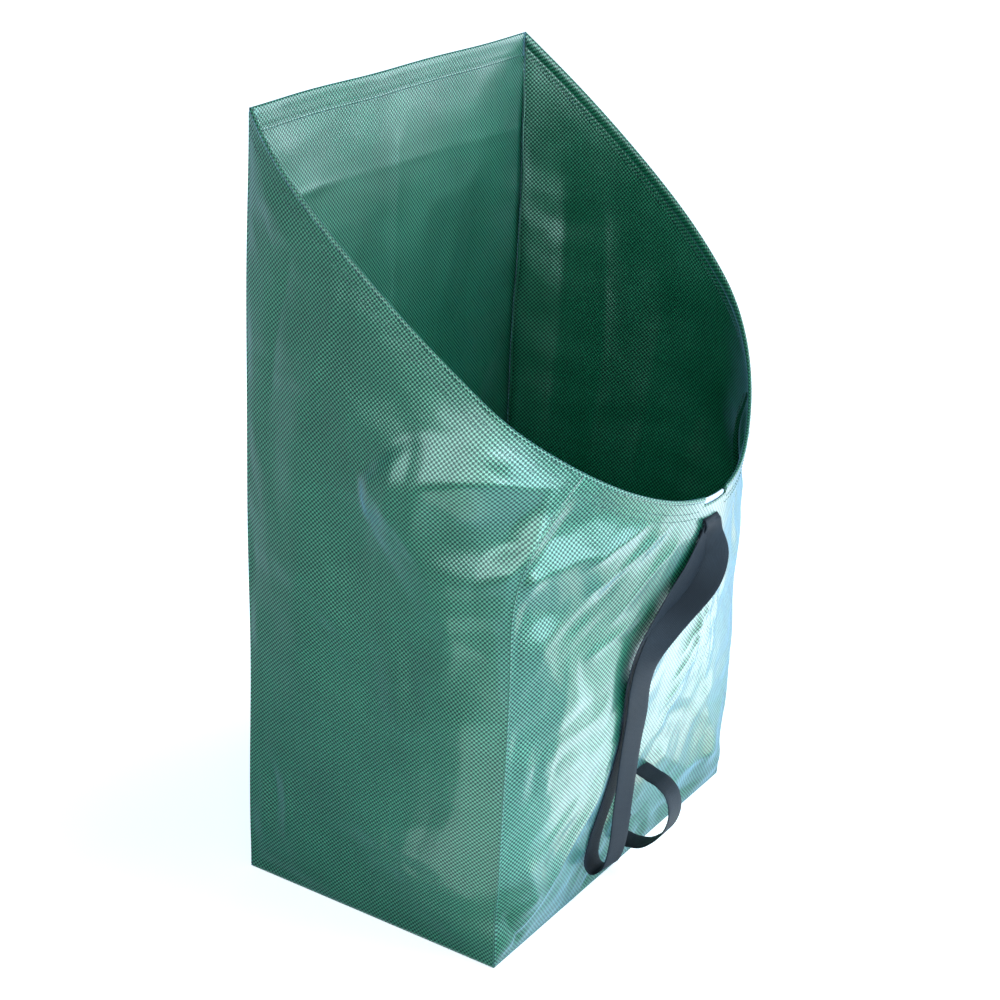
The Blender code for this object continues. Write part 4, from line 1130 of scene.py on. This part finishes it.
def polypropylene_webbing(name):
    """Spun polypropylene webbing: dull ribs run along it, crossed by a finer weave, and it
    is fuzzy and unevenly worn."""
    made, tree = new_material(name)
    place = add_node(tree, "UVMap", uv_map="cut")
    waves = thread_waves(tree, place, (WEB_RIB * 0.8, WEB_RIB))
    ribs = add_node(tree, "Math", {0: waves[0], 1: 0.45, 2: waves[1]},
                    operation="MULTIPLY_ADD")
    fuzz = add_node(tree, "TexNoise", {"Vector": place, "Scale": WEB_FUZZ, "Detail": 3.0})
    worn = add_node(tree, "TexNoise", {"Vector": place, "Scale": WEB_WEAR, "Detail": 2.0})
    rib_tone = add_node(tree, "MapRange", {"Value": ribs, "From Min": -1.45, "From Max": 1.45})
    tone = add_node(tree, "Math", {0: fuzz, 1: 0.35, 2: rib_tone}, operation="MULTIPLY_ADD")
    level = add_node(tree, "MapRange", {"Value": tone, "From Min": 0.1, "From Max": 1.15})
    colour = add_node(tree, "Mix", {"Factor": level, 6: linear(WEB_DARK), 7: linear(WEB_GREY)},
                      data_type="RGBA").outputs[2]
    shade = add_node(tree, "MapRange", {"Value": worn, "From Min": 0.3, "From Max": 0.7,
                                        "To Min": 0.86, "To Max": 1.14})
    shaded = add_node(tree, "VectorMath", {0: colour, "Scale": shade}, operation="SCALE")
    relief = add_node(tree, "Bump", {"Height": ribs, "Strength": 0.5, "Distance": 0.00016})
    fibres = add_node(tree, "Bump", {"Height": fuzz, "Strength": 0.4, "Distance": 0.0002,
                                     "Normal": relief})
    skin = add_node(tree, "BsdfPrincipled", {
        "Base Color": shaded, "Roughness": 0.62, "IOR": 1.49, "Normal": fibres,
        "Specular IOR Level": 0.14, "Sheen Weight": 0.02, "Sheen Roughness": 0.5,
        "Sheen Tint": linear(WEB_FUZZ_TINT)})
    add_node(tree, "OutputMaterial", {"Surface": skin})
    return made


def on_front(out, up, x=0.0):
    """A point by its distance out from the flat middle of the front and up along it."""
    return front_middle + front_lean * out + front_up * up + np.array([x, 0.0, 0.0])


def smooth_route(points, steps):
    """A Catmull-Rom curve through rows of x, y, z and turn, ends included."""
    rows = np.array([points[0], *points, points[-1]], dtype=float)
    route = []
    for p0, p1, p2, p3 in zip(rows, rows[1:], rows[2:], rows[3:]):
        for t in np.arange(steps) / steps:
            route.append(0.5 * (2 * p1 + (p2 - p0) * t + (2 * p0 - 5 * p1 + 4 * p2 - p3) * t * t
                                + (3 * p1 - p0 - 3 * p2 + p3) * t ** 3))
    route.append(rows[-1])
    return np.array(route)


def web_mesh(name, route, start, end):
    """Flat webbing with rounded selvedges along a route, its width turned by degrees."""
    ahead = np.gradient(route[:, :3], axis=0)
    ahead[0], ahead[-1] = start, end
    ahead /= np.linalg.norm(ahead, axis=1, keepdims=True)
    half_width, half = WEB_WIDTH / 2, WEB_THICKNESS / 2
    sections = []
    for place, along, turn in zip(route[:, :3], ahead, np.radians(route[:, 3])):
        across = np.array([math.cos(turn), -math.sin(turn), 0.0])
        across -= along * (across @ along)
        across /= np.linalg.norm(across)
        face = np.cross(along, across)
        sections.append([place + across * x * half_width + face * y * half
                         for x, y in WEB_OUTLINE])
    return loft_mesh(name, sections)


web_finish = polypropylene_webbing("polypropylene_webbing_grey")
strap_axis = on_front(strap_axis_out, slit_height)
front_slope = LIP_OVERHANG / LIP_HEIGHT
leg_lift = front_up * leg_spacing / 2
outer_turn, inner_turn = [strap_axis + front_lean * leg_spacing * past - front_up * down
                          for _, past, down in (OUTER_ROOT, INNER_ROOT)]
strap_rows = [(*(on_front(-SLIT_DEPTH, slit_height) + leg_lift), 0),
              (*(on_front(OUTER_ROOT[0], slit_height) + leg_lift), 0), (*outer_turn, 0)]
for drift, stand, drop, turn in OUTER_LEG + INNER_LEG:
    z = strap_axis[2] - drop * STRAP_HANG
    gap = STRAP_BACK_GAP + stand * (STRAP_STAND - STRAP_BACK_GAP)
    y = -BAG_DEPTH / 2 - front_slope * z - gap - WEB_THICKNESS / 2
    strap_rows.append((drift * STRAP_DRIFT, y, z, turn))
strap_rows += [(*inner_turn, 0), (*(on_front(INNER_ROOT[0], slit_height) - leg_lift), 0),
               (*(on_front(-SLIT_DEPTH, slit_height) - leg_lift), 0)]
strap_route = smooth_route(strap_rows, ROUTE_STEPS)
strap_mesh = web_mesh("carry_strap_webbing", strap_route, front_lean, -front_lean)
carry_strap = place_piece(strap_mesh, web_finish, None, ["carry_strap"])
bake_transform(carry_strap)


def tail_mesh(name, height, layers, way):
    """A web end that turns flat against the inside of the front for its box of stitches."""
    meshes = []
    for layer in range(layers):
        lift = (layer - (layers - 1) / 2) * leg_spacing
        inside = -(CLOTH + TAIL_GAP + (layer if way < 0 else layers - 1 - layer) * leg_spacing)
        route = smooth_route([  # from the slit round the bend, then flat on the inside
            (*on_front(out, height + up), 0) for out, up in (
                (-0.0002, lift), (inside * 0.7, lift + way * 0.0006),
                (inside - 0.0004, lift + way * 0.0035), (inside, way * 0.012),
                (inside, way * TAIL_LENGTH))], TAIL_STEPS)
        meshes.append(web_mesh("tail", route, -front_lean, front_up * way))
    return joined(name, meshes)


def tail_stitches(height, layers, way):
    """A box of stitches with a cross in it, on the inner face of a web end."""
    depth = -(CLOTH + TAIL_GAP + (layers - 1) * leg_spacing + WEB_THICKNESS / 2)
    low, high = height + way * BOX_START, height + way * (TAIL_LENGTH - BOX_MARGIN)
    side = WEB_WIDTH / 2 - BOX_MARGIN
    corners = [(-side, low), (side, low), (side, high), (-side, high)]
    lines = [*zip(corners, corners[1:] + corners[:1]), corners[::2], corners[1::2]]
    rows = []
    for (x0, z0), (x1, z1) in lines:
        path = np.array([on_front(depth, mix(z0, z1, s), mix(x0, x1, s))
                         for s in np.linspace(0.0, 1.0, BOX_MARKS)])
        rows.append(stitch_row(path, np.tile(-front_lean, (BOX_MARKS, 1))))
    return rows


web_stitch_rows = []
for name, node, height, layers, way in (
        ("carry_strap_end", "carry_strap_tail", slit_height, 2, -1.0),
        ("handle_end_low", "base_handle_tail_low", HANDLE_LOW, 1, 1.0),
        ("handle_end_high", "base_handle_tail_high", HANDLE_HIGH, 1, -1.0)):
    place_piece(tail_mesh(name, height, layers, way), web_finish, "bag", [node])
    web_stitch_rows += tail_stitches(height, layers, way)
place_stitching("stitching_webbing", web_stitch_rows)


# The base handle. A short loop of the same webbing that stands out low on the front, for
# tipping the bag out. Its two ends go through slits and are box-stitched inside.
HANDLE_REACH = 0.0385
HANDLE_BOW = ((0.0, 1.0), (0.39, 0.985), (0.77, 0.90), (1.0, 0.71), (1.0, 0.50), (0.82, 0.30),
              (0.44, 0.09), (0.0, 0.0))  # share of the reach, and share of the way up
HANDLE_CLEARANCE = 0.0015
HANDLE_ROOT = (0.0040, 0.0004)  # just outside its slit: how far out and towards the middle
handle_axis_out = WEB_WIDTH / 2 + HANDLE_CLEARANCE
handle_step = WEB_THICKNESS + HANDLE_ROOT[1]
handle_high, handle_low = HANDLE_HIGH - handle_step, HANDLE_LOW + handle_step
handle_places = [(-SLIT_DEPTH, HANDLE_HIGH), (HANDLE_ROOT[0], HANDLE_HIGH - HANDLE_ROOT[1])]
handle_places += [(handle_axis_out + HANDLE_REACH * reach, mix(handle_low, handle_high, rise))
                  for reach, rise in HANDLE_BOW]
handle_places += [(HANDLE_ROOT[0], HANDLE_LOW + HANDLE_ROOT[1]), (-SLIT_DEPTH, HANDLE_LOW)]
handle_route = smooth_route([(*on_front(*place), 0) for place in handle_places], ROUTE_STEPS)
handle_mesh = web_mesh("base_handle_webbing", handle_route, front_lean, -front_lean)
base_handle = place_piece(handle_mesh, web_finish, None, ["base_handle"])
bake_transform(base_handle)


# The studio. A matt white floor, a broad soft sun, boxes at the left, behind the camera and
# at the right, two fills, and three low boards that stand for light thrown up off the floor.
# Some lamps make only glare and some make none. The sky is faintly blue, so glare is too.
FLOOR_HALF = 20.0
FLOOR_DROP = 0.0006
FLOOR_WHITE = "f4f4f3"
FLOOR_LIFT = 0.66
FLOOR_GRAIN = 3.0  # per metre: a faint unevenness 330 mm across
SKY = (0.44, 0.72, 1.0, 1.0)
SKY_STRENGTH = 0.62
WHITE = (1.0, 1.0, 1.0, 1.0)
AIM = (0.0, 0.0, 0.4)
SUN_WIDTH = 0.55
LAMPS = (  # name, place, aim, power, width and depth, colour, the light that it leaves out
    ("high_sun", (1.0, -1.6, 3.6), AIM, 1.15, None, (0.92, 1.0, 0.90), None),
    ("left_box", (-3.0, -1.0, 1.55), AIM, 400.0, (8.0, 2.1), (0.72, 0.90, 0.98), "diffuse"),
    ("camera_box", (0.2, -3.2, 0.95), AIM, 340.0, (5.4, 1.8), (0.60, 0.84, 1.0), "diffuse"),
    ("right_box", (3.0, -1.5, 0.9), AIM, 50.0, (2.0, 1.6), (0.76, 0.91, 1.0), None),
    ("fill_box", (-2.2, -1.0, 2.4), AIM, 19.0, (1.6, 1.6), (0.74, 0.94, 1.0), "glossy"),
    ("front_fill", (0.7, -2.6, 2.1), AIM, 30.0, (1.2, 1.2), (0.10, 0.42, 1.0), "glossy"),
    ("low_board", (-0.1, -0.74, 0.004), (-0.1, -0.73, 1.0), 15.0, (1.8, 1.12),
     (0.50, 0.78, 1.0), None),
    ("side_board", (-0.60, -0.16, 0.004), (-0.60, -0.15, 1.0), 1.2, (0.5, 0.40),
     (0.80, 0.94, 1.0), "diffuse"),
    ("gloss_board", (0.75, -0.85, 0.03), (0.75, -0.80, 1.0), 12.0, (1.6, 1.3),
     (1.0, 0.86, 0.72), "diffuse"))


def white_floor(name):
    """Matt white floor. The camera sees it lifted to the white of the backdrop."""
    made, tree = new_material(name)
    spot = add_node(tree, "TexCoord").outputs["Object"]
    grain = add_node(tree, "TexNoise", {"Vector": spot, "Scale": FLOOR_GRAIN, "Detail": 4.0})
    tone = add_node(tree, "MapRange", {"Value": grain, "To Min": 0.98, "To Max": 1.0})
    colour = add_node(tree, "VectorMath", {0: linear(FLOOR_WHITE)[:3], "Scale": tone},
                      operation="SCALE")
    matt = add_node(tree, "BsdfDiffuse", {"Color": colour})
    seen = add_node(tree, "LightPath").outputs["Is Camera Ray"]
    lift = add_node(tree, "Math", {0: seen, 1: FLOOR_LIFT}, operation="MULTIPLY")
    white = add_node(tree, "Emission", {"Color": WHITE, "Strength": lift})
    both = add_node(tree, "AddShader", {0: matt, 1: white})
    add_node(tree, "OutputMaterial", {"Surface": both})
    return made


def add_lamp(name, place, aim, power, size, colour, left_out):
    """A soft box at a place, turned to its aim, or a sun where no size is given."""
    lamp = bpy.data.lights.new(name, "AREA" if size else "SUN")
    lamp.energy, lamp.color = power, colour
    if size:
        lamp.shape, lamp.size, lamp.size_y = "RECTANGLE", *size
    else:
        lamp.angle = SUN_WIDTH
    thing = bpy.data.objects.new(name, lamp)
    thing.location = place
    thing.rotation_euler = (Vector(aim) - Vector(place)).to_track_quat("-Z", "Y").to_euler()
    if left_out:
        setattr(thing, "visible_" + left_out, False)
    bpy.context.scene.collection.objects.link(thing)


floor_mesh = bpy.data.meshes.new("floor")
floor_mesh.from_pydata([(x * FLOOR_HALF, y * FLOOR_HALF, -FLOOR_DROP) for x, y in base_corners],
                       [], [(0, 1, 2, 3)])
floor_mesh.materials.append(white_floor("matt_white_floor"))
floor = bpy.data.objects.new("floor", floor_mesh)
bpy.context.scene.collection.objects.link(floor)
for lamp in LAMPS:
    add_lamp(*lamp)

world = bpy.data.worlds.new("studio")
world.use_nodes = True
world.node_tree.nodes.clear()
seen = add_node(world.node_tree, "LightPath").outputs["Is Camera Ray"]
sky = add_node(world.node_tree, "Background", {"Color": SKY, "Strength": SKY_STRENGTH})
backdrop = add_node(world.node_tree, "Background", {"Color": WHITE, "Strength": 1.0})
either = add_node(world.node_tree, "MixShader", {0: seen, 1: sky, 2: backdrop})
add_node(world.node_tree, "OutputWorld", {"Surface": either})
bpy.context.scene.world = world
bpy.context.scene.view_settings.view_transform = "Standard"
